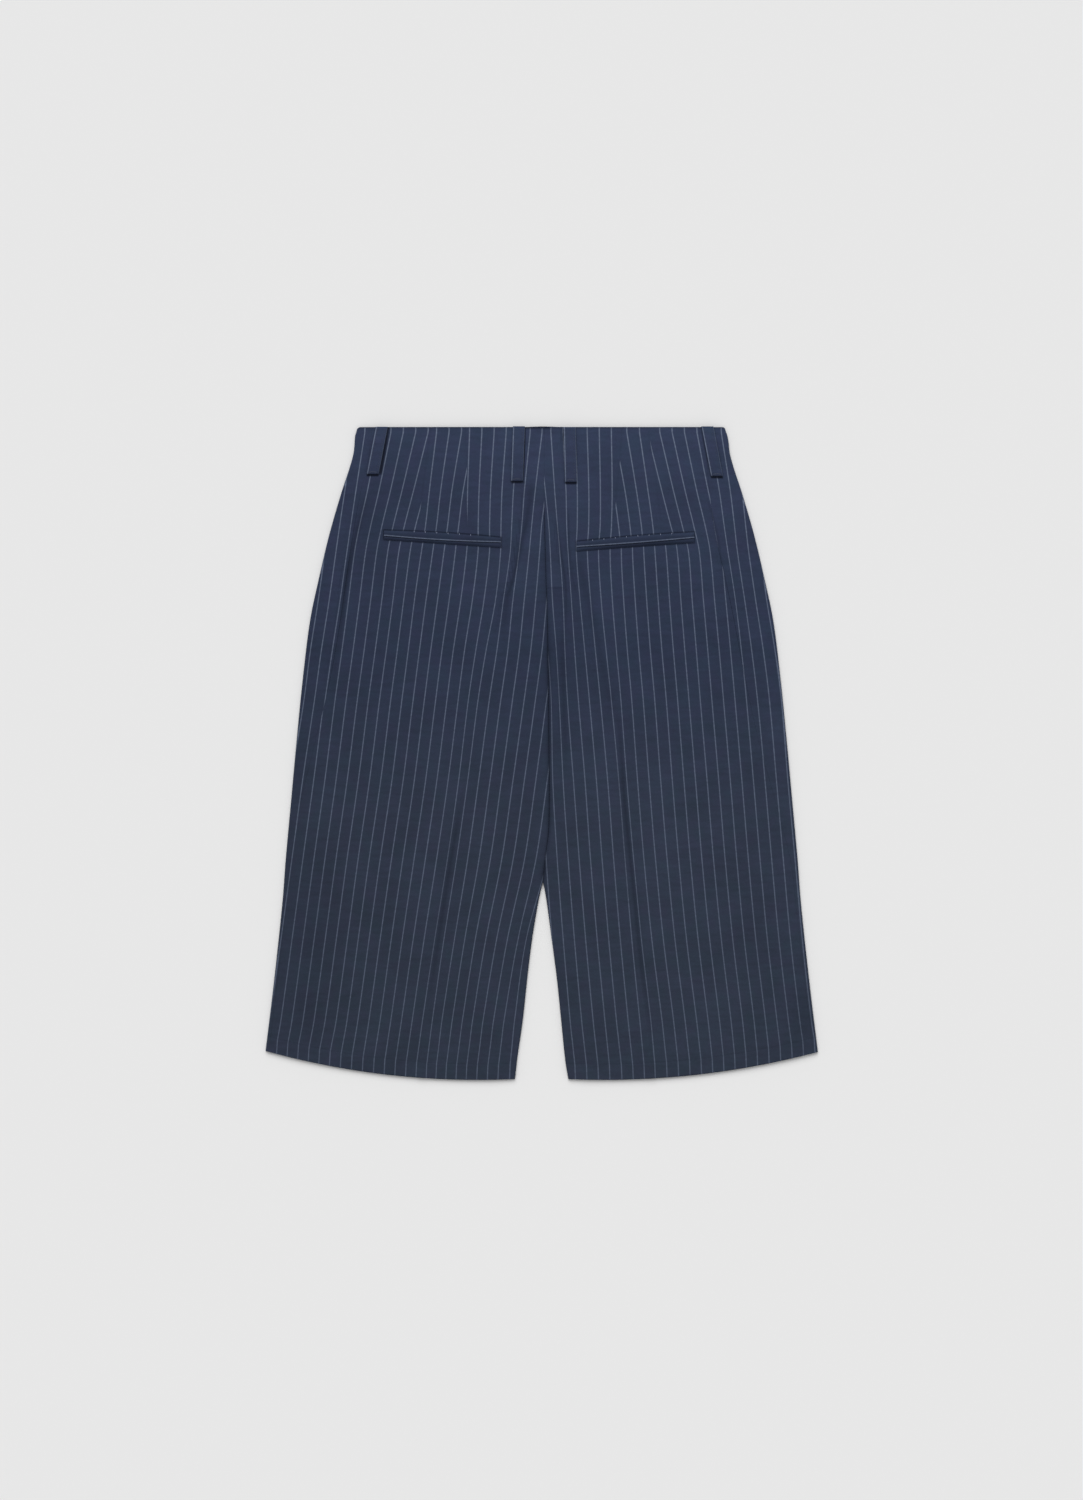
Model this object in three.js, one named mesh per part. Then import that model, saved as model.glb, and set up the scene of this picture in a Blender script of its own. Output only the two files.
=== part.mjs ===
// Tailored bermuda shorts with a fine stripe, laid flat with the back upwards.
// Millimetres. X runs across the garment, +Y points to the waist, +Z is up, and z = 0 is the surface below.
// Lengths called "down" are measured from the waist edge towards the hem.
import * as THREE from "three";

// Cloth and clearances
const WALL = 1.4;
const LAYER_GAP = 0.4;
const SEAM_GAP = 0.3;
const FOLD_RADIUS = (2 * WALL + LAYER_GAP) / 2;
const SIGN = { left: -1, right: 1 };

// Length of the garment
const WAIST_Y = 326;
const CROTCH = 457;
const HEM_LOW = 653;
const HEM_LOW_X = 61;
const HEM_RISE = 0.000655;
const HEM_BAND = 14.5;
const HEM_STEP = 1.5;

// Half the flat width, and how far the front panels wrap over the side folds onto the back
const SECTIONS = [
  { down: 0, half: 184, left: 15.5, right: 19.5 },
  { down: 6, half: 185.8, left: 16, right: 20.5 },
  { down: 28, half: 188, left: 16, right: 22.5 },
  { down: 68, half: 200.5, left: 19.5, right: 31.5 },
  { down: 108, half: 212, left: 24, right: 37.5 },
  { down: 148, half: 221.5, left: 27.5, right: 38 },
  { down: 193, half: 231, left: 30.5, right: 38 },
  { down: 253, half: 238.5, left: 27.5, right: 34 },
  { down: 313, half: 244.5, left: 19, right: 27 },
  { down: 373, half: 250, left: 10, right: 16 },
  { down: 433, half: 255.5, left: 5, right: 6 },
  { down: 473, half: 258.5, left: 4, right: 4 },
  { down: 553, half: 267, left: 3.6, right: 3.6 },
  { down: 623, half: 275.5, left: 3.5, right: 3.5 },
];

// The centre-back seam, which bows a little to the right as the garment lies
const CENTRE_BACK = [
  { down: 0, x: 3.5 },
  { down: 71, x: 3.2 },
  { down: 143, x: 4.8 },
  { down: 200, x: 6.5 },
  { down: 313, x: 7.9 },
  { down: 400, x: 7.9 },
  { down: 430, x: 4.4 },
  { down: CROTCH, x: 2 },
];
const CENTRE_FRONT_X = 2;

// Inner edges of the two legs, from the crotch down
const INNER_LEG = [
  { down: CROTCH, left: 1.85, right: 2.15 },
  { down: 473, left: -3, right: 6 },
  { down: 513, left: -10, right: 11 },
  { down: 553, left: -15, right: 16 },
  { down: 593, left: -19, right: 20 },
  { down: 633, left: -25, right: 25 },
  { down: HEM_LOW, left: -27.5, right: 28.5 },
];

// The inner dart of each back panel, carried on below the pocket as the pressed crease of the leg
const DART_AND_CREASE = [
  { down: 0, left: -76, right: 83.5 },
  { down: 33, left: -73.8, right: 79.7 },
  { down: 78, left: -73.5, right: 74.5 },
  { down: 100, left: -73.5, right: 72 },
  { down: 273, left: -68.5, right: 74.7 },
  { down: 353, left: -78.5, right: 81.3 },
  { down: 433, left: -89.5, right: 88 },
  { down: 513, left: -102.5, right: 95 },
  { down: 593, left: -114, right: 104 },
  { down: HEM_LOW, left: -122, right: 113 },
];

// The outer dart, and the line of cloth that runs on below it
const OUTER_DART = [
  { down: 0, left: -109, right: 107 },
  { down: 43, left: -114.5, right: 114 },
  { down: 99, left: -121.5, right: 121 },
  { down: HEM_LOW, left: -195, right: 195 },
];

// Relief of the upper side
const LOFT = 1.6;
const LOFT_EDGE = 30;
const LOFT_LEG = 22;
const LOFT_HEM = 60;
const HEM_LOFT_SHARE = 0.3;
const HEM_THICKER = 0.35;
const DART_END = 104;
const DART_DEPTH = 0.45;
const GROOVE_HALF = 2;
const CREASE_START = 250;
const CREASE_FULL = 400;
const CREASE_HEIGHT = 1.1;
const CENTRE_SEAM_DEPTH = 0.5;
const CENTRE_SEAM_HALF = 5;
const SIDE_SEAM_DEPTH = 0.5;
const SIDE_SEAM_HALF = 4;

// Soft folds that run down from the back waist, each a trough with its depth along the way
const SOFT_FOLDS = [
  {
    halfWidth: 9,
    rows: [
      { down: 50, x: -10, depth: 0 },
      { down: 113, x: -23, depth: 0.9 },
      { down: 153, x: -30, depth: 1 },
      { down: 213, x: -46, depth: 0.8 },
      { down: 253, x: -53, depth: 0.4 },
      { down: 290, x: -60, depth: 0 },
    ],
  },
  {
    halfWidth: 10,
    rows: [
      { down: 30, x: 24, depth: 0 },
      { down: 118, x: 28, depth: 0.7 },
      { down: 163, x: 35, depth: 1 },
      { down: 213, x: 49, depth: 0.9 },
      { down: 263, x: 61, depth: 0.6 },
      { down: 300, x: 72, depth: 0 },
    ],
  },
  {
    halfWidth: 6,
    rows: [
      { down: 160, x: 21, depth: 0 },
      { down: 200, x: 22, depth: 0.6 },
      { down: 300, x: 24, depth: 0.6 },
      { down: 378, x: 25, depth: 0 },
    ],
  },
];

// Shield behind the fly opening, between the front and back layers
const SHIELD = { left: -14, right: 22, top: 1, bottom: 159, corner: 16, wall: 1, rise: 0.6, fade: 8 };

// Back belt loops, from their upper to their lower ends
const LOOP_WIDTH = 12;
const LOOP_WALL = 1.1;
const LOOP_ARCH = 0.8;
const LOOP_ABOVE = 1;
const BACK_LOOPS = [
  { name: "belt_loop_back_left_outer", topX: -159.2, endX: -167.2, end: 47.5 },
  { name: "belt_loop_back_left_inner", topX: -22.5, endX: -24.2, end: 55 },
  { name: "belt_loop_back_right_inner", topX: 28.5, endX: 29.1, end: 55.5 },
  { name: "belt_loop_back_right_outer", topX: 165.6, endX: 176.5, end: 50 },
];

// Front belt loops: they lie on the surface below, and the front panels rise over them
const FRONT_LOOP_SHARE = 0.52;
const FRONT_LOOP_END = 50;
const FRONT_LIFT = LOOP_WALL + SEAM_GAP;
const FRONT_LIFT_FLAT = 7;
const FRONT_LIFT_FADE = 17;
const FRONT_LIFT_END = 53;
const FRONT_RISE = 0.8;
const FRONT_RISE_HALF = 28;

// Back pockets: two narrow lips each, from the end near the centre to the end near the side
const LIP_WALL = 1;
const LIP_CROWN = 0.35;
const POCKETS = [
  {
    side: "left",
    inner: { x: -40, top: 109.5, slot: 115, bottom: 120.3 },
    outer: { x: -157, top: 102.8, slot: 107.2, bottom: 113.8 },
    bow: 1.4,
  },
  {
    side: "right",
    inner: { x: 35.5, top: 114.2, slot: 119.4, bottom: 124 },
    outer: { x: 153.3, top: 105.1, slot: 110.4, bottom: 116.3 },
    bow: 0,
  },
];

// Rows of the panels: down to the crotch in even steps, then on to the hem band
const TOP_ROWS = [0, 3, 8, 20, 36];
const UPPER_FROM = 53;
const UPPER_STEPS = 18;
const LEG_STEPS = 8;

const CLOTH_COLOR = 0x343d50;
const SHIELD_COLOR = 0x2c3342;

function smooth(t) {
  const s = Math.min(1, Math.max(0, t));
  return s * s * (3 - 2 * s);
}

function mix(a, b, t) {
  return a + (b - a) * t;
}

// Smooth curve through one column of a table, as a function of the distance down
function curve(table, column) {
  const slopes = table.map((row, i) => {
    const before = table[Math.max(0, i - 1)];
    const after = table[Math.min(table.length - 1, i + 1)];
    return (after[column] - before[column]) / (after.down - before.down);
  });
  return (down) => {
    const last = table.length - 1;
    let i = table.findIndex((row) => row.down > down) - 1;
    if (down >= table[last].down) {
      return table[last][column] + slopes[last] * (down - table[last].down);
    }
    i = Math.max(0, i);
    const a = table[i];
    const b = table[i + 1];
    const span = b.down - a.down;
    const t = Math.max(0, (down - a.down) / span);
    const start = (1 + 2 * t) * (1 - t) ** 2 * a[column] + t * (1 - t) ** 2 * span * slopes[i];
    const end = t * t * (3 - 2 * t) * b[column] + t * t * (t - 1) * span * slopes[i + 1];
    return start + end;
  };
}

const halfAt = curve(SECTIONS, "half");
const wrapAt = { left: curve(SECTIONS, "left"), right: curve(SECTIONS, "right") };
const centreBackAt = curve(CENTRE_BACK, "x");
const legEdgeAt = { left: curve(INNER_LEG, "left"), right: curve(INNER_LEG, "right") };
const creaseAt = { left: curve(DART_AND_CREASE, "left"), right: curve(DART_AND_CREASE, "right") };
const dartAt = { left: curve(OUTER_DART, "left"), right: curve(OUTER_DART, "right") };
const foldCurves = SOFT_FOLDS.map((fold) => ({
  halfWidth: fold.halfWidth,
  start: fold.rows[0].down,
  end: fold.rows[fold.rows.length - 1].down,
  x: curve(fold.rows, "x"),
  depth: curve(fold.rows, "depth"),
}));

function hemDown(x) {
  return HEM_LOW - HEM_RISE * (Math.abs(x) - HEM_LOW_X) ** 2;
}

function innerBack(side, down) {
  if (down > CROTCH) {
    return legEdgeAt[side](down);
  }
  return centreBackAt(down) + (SIGN[side] * SEAM_GAP) / 2;
}

function innerFront(side, down) {
  if (down > CROTCH) {
    return legEdgeAt[side](down);
  }
  return CENTRE_FRONT_X + (SIGN[side] * SEAM_GAP) / 2;
}

function sideSeam(side, down) {
  return SIGN[side] * (halfAt(down) - wrapAt[side](down));
}

function foldLine(side, down) {
  return SIGN[side] * (halfAt(down) - FOLD_RADIUS);
}

// A V-shaped mark that is 1 on its line and 0 past its half width
function notch(distance, halfWidth) {
  return Math.max(0, 1 - Math.abs(distance) / halfWidth);
}

// A plain rise over a flat middle that fades out on both sides
function plateau(distance, flat, fade) {
  return 1 - smooth((Math.abs(distance) - flat) / fade);
}

// How far the upper side stands above the lowest place that it could lie at
function upperLift(x, down) {
  const side = x < centreBackAt(Math.min(down, CROTCH)) ? "left" : "right";
  const hemDistance = hemDown(x) - down;
  const legness = smooth((down - CROTCH + 60) / 90);
  const legFade = 1 - legness * (1 - smooth(Math.abs(x - innerBack(side, down)) / LOFT_LEG));
  const hemFade = mix(HEM_LOFT_SHARE, 1, smooth(hemDistance / LOFT_HEM));
  const edgeFade = smooth((halfAt(down) - Math.abs(x)) / LOFT_EDGE);
  let lift = LOFT * edgeFade * legFade * hemFade;

  const shieldMiddle = (SHIELD.left + SHIELD.right) / 2;
  const shieldHalf = (SHIELD.right - SHIELD.left) / 2;
  const overShield = plateau(x - shieldMiddle, shieldHalf, SHIELD.fade);
  lift += SHIELD.rise * overShield * (1 - smooth((down - SHIELD.bottom) / SHIELD.fade));

  for (const fold of foldCurves) {
    if (down > fold.start && down < fold.end) {
      const across = (x - fold.x(down)) / fold.halfWidth;
      lift -= Math.max(0, fold.depth(down)) * Math.exp(-across * across);
    }
  }
  const seamShare = 1 - smooth((down - CROTCH + 40) / 40);
  lift -= CENTRE_SEAM_DEPTH * seamShare * notch(x - centreBackAt(Math.min(down, CROTCH)), CENTRE_SEAM_HALF);
  const wrapShare = smooth((wrapAt[side](down) - 6) / 10);
  lift -= SIDE_SEAM_DEPTH * wrapShare * notch(x - sideSeam(side, down), SIDE_SEAM_HALF);
  if (down < DART_END) {
    lift -= DART_DEPTH * notch(x - creaseAt[side](down), GROOVE_HALF);
    lift -= DART_DEPTH * notch(x - dartAt[side](down), GROOVE_HALF);
  }
  const creaseShare = smooth((down - CREASE_START) / (CREASE_FULL - CREASE_START));
  lift += CREASE_HEIGHT * creaseShare * notch(x - creaseAt[side](down), GROOVE_HALF);
  lift += HEM_THICKER * (1 - smooth((hemDistance - HEM_BAND) / HEM_STEP));
  return Math.max(0, lift);
}

function upperTop(x, down) {
  return 2 * WALL + LAYER_GAP + upperLift(x, down);
}

// How far a front panel rises over the belt loop beneath it
function frontLift(side, x, down) {
  const loopX = FRONT_LOOP_SHARE * foldLine(side, down);
  const across = plateau(x - loopX, FRONT_LIFT_FLAT, FRONT_LIFT_FADE - FRONT_LIFT_FLAT);
  return FRONT_LIFT * across * (1 - smooth((down - FRONT_LIFT_END) / (FRONT_LIFT_FADE - FRONT_LIFT_FLAT)));
}

// Even steps from one place towards the next, without the last one
function spread(from, to, steps) {
  return Array.from({ length: steps }, (unused, i) => mix(from, to, i / steps));
}

// Closed wall between two grids of points with the same rows and columns
function wallGeometry(outer, inner) {
  const rows = outer.length;
  const columns = outer[0].length;
  const positions = [];
  for (const point of [...outer.flat(), ...inner.flat()]) {
    positions.push(point.x, point.y, point.z);
  }
  const outerAt = (r, c) => r * columns + c;
  const innerAt = (r, c) => rows * columns + outerAt(r, c);
  const faces = [];
  const quad = (a, b, c, d) => faces.push([a, b, c], [a, c, d]);
  for (let r = 0; r + 1 < rows; r += 1) {
    for (let c = 0; c + 1 < columns; c += 1) {
      quad(outerAt(r, c), outerAt(r + 1, c), outerAt(r + 1, c + 1), outerAt(r, c + 1));
      quad(innerAt(r, c), innerAt(r, c + 1), innerAt(r + 1, c + 1), innerAt(r + 1, c));
    }
    const last = columns - 1;
    quad(outerAt(r, 0), innerAt(r, 0), innerAt(r + 1, 0), outerAt(r + 1, 0));
    quad(outerAt(r, last), outerAt(r + 1, last), innerAt(r + 1, last), innerAt(r, last));
  }
  for (let c = 0; c + 1 < columns; c += 1) {
    const last = rows - 1;
    quad(outerAt(0, c), outerAt(0, c + 1), innerAt(0, c + 1), innerAt(0, c));
    quad(outerAt(last, c), innerAt(last, c), innerAt(last, c + 1), outerAt(last, c + 1));
  }
  const a = new THREE.Vector3();
  const b = new THREE.Vector3();
  const c = new THREE.Vector3();
  let volume = 0;
  for (const face of faces) {
    a.fromArray(positions, face[0] * 3);
    b.fromArray(positions, face[1] * 3);
    c.fromArray(positions, face[2] * 3);
    volume += a.dot(b.cross(c));
  }
  const geometry = new THREE.BufferGeometry();
  geometry.setAttribute("position", new THREE.Float32BufferAttribute(positions, 3));
  geometry.setIndex(faces.flatMap((face) => (volume > 0 ? face : [face[0], face[2], face[1]])));
  geometry.computeVertexNormals();
  return geometry;
}

function place(x, down, z) {
  return new THREE.Vector3(x, WAIST_Y - down, z);
}

// Rows of a panel: each is a distance down, or a share of the leg below the crotch, or a place on the hem band
const UPPER_ROWS = [...TOP_ROWS, ...spread(UPPER_FROM, CROTCH, UPPER_STEPS)].map((down) => () => down);
const LEG_ROWS = spread(0, 1, LEG_STEPS).map((share) => (hem) => mix(CROTCH, hem - HEM_BAND - HEM_STEP, share));
const HEM_ROWS = [HEM_BAND + HEM_STEP, HEM_BAND, 0].map((above) => (hem) => hem - above);
const PANEL_ROWS = [...UPPER_ROWS, ...LEG_ROWS, ...HEM_ROWS];

// Where each column of a panel runs at each row
function panelGrid(columnsAt) {
  const atHem = columnsAt(HEM_LOW - HEM_BAND);
  return PANEL_ROWS.map((rowDown) =>
    atHem.map((hemX, column) => {
      const down = rowDown(hemDown(hemX));
      return { x: columnsAt(down)[column], down, column };
    }),
  );
}

const INNER_RADIUS = WALL + LAYER_GAP - SEAM_GAP;
const QUARTER_ANGLES = [0, Math.PI / 4, Math.PI / 2];

// Columns of a back panel, from the side seam past both dart lines to its inner edge
function backColumns(side, down) {
  const s = SIGN[side];
  const dart = dartAt[side](down);
  const crease = creaseAt[side](down);
  const inner = innerBack(side, down);
  const seam = sideSeam(side, down) - s * SEAM_GAP;
  return [
    ...spread(seam, dart + s * GROOVE_HALF, 4),
    dart + s * GROOVE_HALF,
    dart,
    ...spread(dart - s * GROOVE_HALF, crease + s * GROOVE_HALF, 3),
    crease + s * GROOVE_HALF,
    crease,
    ...spread(crease - s * GROOVE_HALF, inner + s * CENTRE_SEAM_HALF, 7),
    inner + s * CENTRE_SEAM_HALF,
    ...QUARTER_ANGLES.map((angle) => inner + s * INNER_RADIUS * (1 - Math.sin(angle))),
  ];
}

// A back panel: below the crotch its inner edge turns down to meet the front at the inseam
function backPanel(side) {
  const s = SIGN[side];
  const grid = panelGrid((down) => backColumns(side, down));
  const firstBent = grid[0].length - QUARTER_ANGLES.length;
  const outer = [];
  const inner = [];
  for (const row of grid) {
    outer.push(
      row.map(({ x, down, column }) => {
        const angle = down > CROTCH && column >= firstBent ? QUARTER_ANGLES[column - firstBent] : 0;
        return place(x, down, upperTop(x, down) - INNER_RADIUS * (1 - Math.cos(angle)));
      }),
    );
    inner.push(
      row.map(({ x, down, column }) => {
        if (down <= CROTCH || column < firstBent) {
          return place(x, down, upperTop(x, down) - WALL);
        }
        const angle = QUARTER_ANGLES[column - firstBent];
        const small = INNER_RADIUS - WALL;
        const innerX = innerBack(side, down) + s * (INNER_RADIUS - small * Math.sin(angle));
        return place(innerX, down, upperTop(x, down) - INNER_RADIUS + small * Math.cos(angle));
      }),
    );
  }
  return wallGeometry(outer, inner);
}

const FOLD_ANGLES = [Math.PI / 4, Math.PI / 2, (3 * Math.PI) / 4];

// Columns of a front panel: flat to the side fold, round it, and back over the top to the side seam
function frontColumns(side, down) {
  const s = SIGN[side];
  const fold = foldLine(side, down);
  const loop = FRONT_LOOP_SHARE * fold;
  const inner = innerFront(side, down);
  return [
    ...spread(inner, loop - s * FRONT_LIFT_FADE, 3),
    loop - s * FRONT_LIFT_FADE,
    loop - s * FRONT_LIFT_FLAT,
    loop,
    loop + s * FRONT_LIFT_FLAT,
    ...spread(loop + s * FRONT_LIFT_FADE, fold, 3),
    fold,
    ...FOLD_ANGLES.map((angle) => fold + s * FOLD_RADIUS * Math.sin(angle)),
    ...spread(fold, sideSeam(side, down), 3),
    sideSeam(side, down),
  ];
}

function frontPanel(side) {
  const s = SIGN[side];
  const grid = panelGrid((down) => frontColumns(side, down));
  const firstTop = grid[0].length - 4;
  const firstBent = firstTop - FOLD_ANGLES.length;
  const outer = [];
  const inner = [];
  for (const row of grid) {
    const rise = (x, down) => (down > 0 ? 0 : FRONT_RISE * plateau(x - CENTRE_FRONT_X, 0, FRONT_RISE_HALF));
    outer.push(
      row.map(({ x, down, column }) => {
        if (column < firstBent) {
          return place(x, down - rise(x, down), frontLift(side, x, down));
        }
        if (column < firstTop) {
          const angle = FOLD_ANGLES[column - firstBent];
          return place(x, down, FOLD_RADIUS * (1 - Math.cos(angle)));
        }
        return place(x, down, upperTop(x, down));
      }),
    );
    inner.push(
      row.map(({ x, down, column }) => {
        if (column < firstBent) {
          return place(x, down - rise(x, down), frontLift(side, x, down) + WALL);
        }
        if (column < firstTop) {
          const angle = FOLD_ANGLES[column - firstBent];
          const small = FOLD_RADIUS - WALL;
          const bentX = foldLine(side, down) + s * small * Math.sin(angle);
          return place(bentX, down, FOLD_RADIUS - small * Math.cos(angle));
        }
        return place(x, down, upperTop(x, down) - WALL);
      }),
    );
  }
  return wallGeometry(outer, inner);
}

const LOOP_LENGTH_STEPS = 10;
const LOOP_WIDTH_STEPS = 4;

// Plain strip of cloth laid on the upper side, a little arched between its two sewn ends
function backLoop({ topX, endX, end }) {
  const outer = [];
  const inner = [];
  for (let i = 0; i <= LOOP_LENGTH_STEPS; i += 1) {
    const u = i / LOOP_LENGTH_STEPS;
    const down = mix(-LOOP_ABOVE, end, u);
    const middle = mix(topX, endX, u);
    const arch = LOOP_ARCH * Math.sin(Math.PI * u) ** 2;
    const across = spread(-LOOP_WIDTH / 2, LOOP_WIDTH / 2, LOOP_WIDTH_STEPS).concat(LOOP_WIDTH / 2);
    const base = across.map((offset) => upperTop(middle + offset, Math.max(0, down)) + SEAM_GAP + arch);
    outer.push(across.map((offset, k) => place(middle + offset, down, base[k] + LOOP_WALL)));
    inner.push(across.map((offset, k) => place(middle + offset, down, base[k])));
  }
  return wallGeometry(outer, inner);
}

// Flat strip under a front panel
function frontLoop(side) {
  const outer = [];
  const inner = [];
  for (const down of [...spread(-LOOP_ABOVE, FRONT_LOOP_END, 4), FRONT_LOOP_END]) {
    const middle = FRONT_LOOP_SHARE * foldLine(side, Math.max(0, down));
    const across = [-LOOP_WIDTH / 2, 0, LOOP_WIDTH / 2];
    outer.push(across.map((offset) => place(middle + offset, down, LOOP_WALL)));
    inner.push(across.map((offset) => place(middle + offset, down, 0)));
  }
  return wallGeometry(outer, inner);
}

const LIP_LENGTH_STEPS = 22;
const LIP_WIDTH_STEPS = 4;

// One folded lip of a pocket, between two of its three long lines
function pocketLip(pocket, upperLine, lowerLine) {
  const outer = [];
  const inner = [];
  for (let i = 0; i <= LIP_LENGTH_STEPS; i += 1) {
    const u = i / LIP_LENGTH_STEPS;
    const x = mix(pocket.inner.x, pocket.outer.x, u);
    const bow = pocket.bow * Math.sin(Math.PI * u);
    const top = mix(pocket.inner[upperLine], pocket.outer[upperLine], u) - bow;
    const bottom = mix(pocket.inner[lowerLine], pocket.outer[lowerLine], u) - bow;
    const gap = SEAM_GAP / 2;
    const across = spread(0, 1, LIP_WIDTH_STEPS).concat(1);
    const downs = across.map((v) => mix(top + gap, bottom - gap, v));
    const crown = across.map((v) => LIP_CROWN * Math.sin(Math.PI * v));
    const base = downs.map((down) => upperTop(x, down) + SEAM_GAP);
    outer.push(downs.map((down, k) => place(x, down, base[k] + LIP_WALL + crown[k])));
    inner.push(downs.map((down, k) => place(x, down, base[k])));
  }
  return wallGeometry(outer, inner);
}

// Shield with one rounded lower corner, lying on the front panels
function flyShield() {
  const outline = new THREE.Shape();
  const top = WAIST_Y - SHIELD.top;
  const bottom = WAIST_Y - SHIELD.bottom;
  outline.moveTo(SHIELD.left, top);
  outline.lineTo(SHIELD.left, bottom);
  outline.lineTo(SHIELD.right - SHIELD.corner, bottom);
  outline.absarc(SHIELD.right - SHIELD.corner, bottom + SHIELD.corner, SHIELD.corner, -Math.PI / 2, 0);
  outline.lineTo(SHIELD.right, top);
  outline.closePath();
  const options = { depth: SHIELD.wall, bevelEnabled: false, curveSegments: 8 };
  const geometry = new THREE.ExtrudeGeometry(outline, options);
  geometry.translate(0, 0, WALL + SEAM_GAP);
  return geometry;
}

const shorts = new THREE.Group();

function add(name, geometry, color = CLOTH_COLOR) {
  const material = new THREE.MeshStandardMaterial({ color, roughness: 0.85, metalness: 0 });
  const mesh = new THREE.Mesh(geometry, material);
  mesh.name = name;
  shorts.add(mesh);
}

for (const side of ["left", "right"]) {
  add(`front_${side}`, frontPanel(side));
  add(`back_${side}`, backPanel(side));
  add(`belt_loop_front_${side}`, frontLoop(side));
}
for (const pocket of POCKETS) {
  add(`pocket_${pocket.side}_upper_lip`, pocketLip(pocket, "top", "slot"));
  add(`pocket_${pocket.side}_lower_lip`, pocketLip(pocket, "slot", "bottom"));
}
for (const loop of BACK_LOOPS) {
  add(loop.name, backLoop(loop));
}
add("fly_shield", flyShield(), SHIELD_COLOR);

export default shorts;
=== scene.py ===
# %% [markdown]
# # Pinstripe bermuda shorts, laid flat
#
# The garment lies on its front, so the camera looks straight down on its back: two back panels with
# darts, pressed creases and double-lip pockets, four belt loops, and the edges of the front panels,
# which wrap round the side folds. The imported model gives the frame, in metres: +Y points to the waist.

import bpy
import numpy as np
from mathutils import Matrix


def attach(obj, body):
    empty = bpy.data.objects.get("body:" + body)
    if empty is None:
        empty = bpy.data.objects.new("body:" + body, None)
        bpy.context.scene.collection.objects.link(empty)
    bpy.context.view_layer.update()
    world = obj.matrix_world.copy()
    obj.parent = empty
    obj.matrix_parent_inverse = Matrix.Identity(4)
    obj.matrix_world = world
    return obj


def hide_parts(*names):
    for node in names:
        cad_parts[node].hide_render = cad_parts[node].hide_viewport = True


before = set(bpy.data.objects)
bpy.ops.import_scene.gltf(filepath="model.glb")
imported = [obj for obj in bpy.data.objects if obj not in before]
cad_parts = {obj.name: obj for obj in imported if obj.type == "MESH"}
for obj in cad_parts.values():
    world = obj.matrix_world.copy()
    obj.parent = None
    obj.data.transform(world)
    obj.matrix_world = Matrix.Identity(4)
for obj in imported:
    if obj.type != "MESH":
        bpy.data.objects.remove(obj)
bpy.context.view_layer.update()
print("nodes:", len(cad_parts))

# %% [markdown]
# ## Camera
#
# The picture was taken from straight above with a long lens. A long lens far away shows a flat thing
# without perspective. The photograph is 1083 by 1500 pixels, and one pixel is one millimetre on the
# upper side of the cloth, 4 mm above the table, so the frame takes in 1.5 m at that height.

# %% Camera
PHOTO_HEIGHT = 1.5
CAMERA_HEIGHT = 4.0
CLOTH_TOP = 0.004
SENSOR = 24.0
PHOTO_CENTRE = (0.0005, 0.003)

camera_data = bpy.data.cameras.new("overhead")
camera_data.sensor_fit = "VERTICAL"
camera_data.sensor_height = SENSOR
camera_data.sensor_width = SENSOR
camera_data.lens = SENSOR * (CAMERA_HEIGHT - CLOTH_TOP) / PHOTO_HEIGHT
camera = bpy.data.objects.new("overhead", camera_data)
camera.location = (*PHOTO_CENTRE, CAMERA_HEIGHT)
bpy.context.scene.collection.objects.link(camera)
bpy.context.scene.camera = camera
print("lens, mm:", round(camera_data.lens, 1))

# %% [markdown]
# ## Sizes of the cut
#
# The sizes below are in millimetres and repeat those of the solids. "Down" is the distance below
# the waist edge. Each table has one row for each height at which something was measured, and a
# smooth curve through a column gives every height between: that is how a pattern cutter draws a
# side seam through a few marks. Left is the wearer's left, which is also the viewer's here.

# %% Lengths, outline and seams
WALL = 1.4
HALF_WALL = WALL / 2
LAYER_GAP = 0.4
SEAM_GAP = 0.3
# Sewn edges touch in the real garment; here they stay this far apart
SEWN_GAP = 0.08
FOLD_RADIUS = (2 * WALL + LAYER_GAP) / 2
WAIST_Y = 326.0
CROTCH = 455.0
HEM_LOW = 653.0
HEM_LOW_X = 61.0
HEM_RISE = {"left": 0.000619, "right": 0.00059}
HEM_BAND = 14.5
SIGN = {"left": -1, "right": 1}
# Below the waist the garment lies a little wider on its right; its waist corners are rounded
EASE = {"left": 0.0, "right": 1.3}
EASE_START = 20.0
CORNER = {"left": 3.5, "right": 2.5}

SECTIONS = {
    "down": [0, 6, 28, 68, 108, 148, 193, 253, 313, 373, 433, 473, 553, 623],
    "half": [184, 185.8, 188, 200.5, 212, 221.5, 231, 238.5, 244.5, 250, 255.5, 258.5, 267, 275.5],
    "left": [15.5, 16, 16, 19.5, 24, 27.5, 30.5, 27.5, 19, 10, 5, 4, 3.6, 3.5],
    "right": [19.5, 20.5, 22.5, 31.5, 37.5, 38, 38, 34, 27, 16, 6, 4, 3.6, 3.5],
}
CENTRE_BACK = {
    "down": [0, 71, 143, 200, 313, 400, 430, CROTCH],
    "x": [3.5, 3.2, 4.8, 6.5, 7.9, 7.9, 4.4, 2],
}
CENTRE_FRONT_X = 2.0
INNER_LEG = {
    "down": [CROTCH, 473, 513, 553, 593, 633, HEM_LOW],
    "left": [1.8, -2.3, -9.0, -13.9, -18.2, -23.9, -26.1],
    "right": [2.3, 5.4, 10.8, 16, 20.1, 24.2, 27.4],
}
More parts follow.
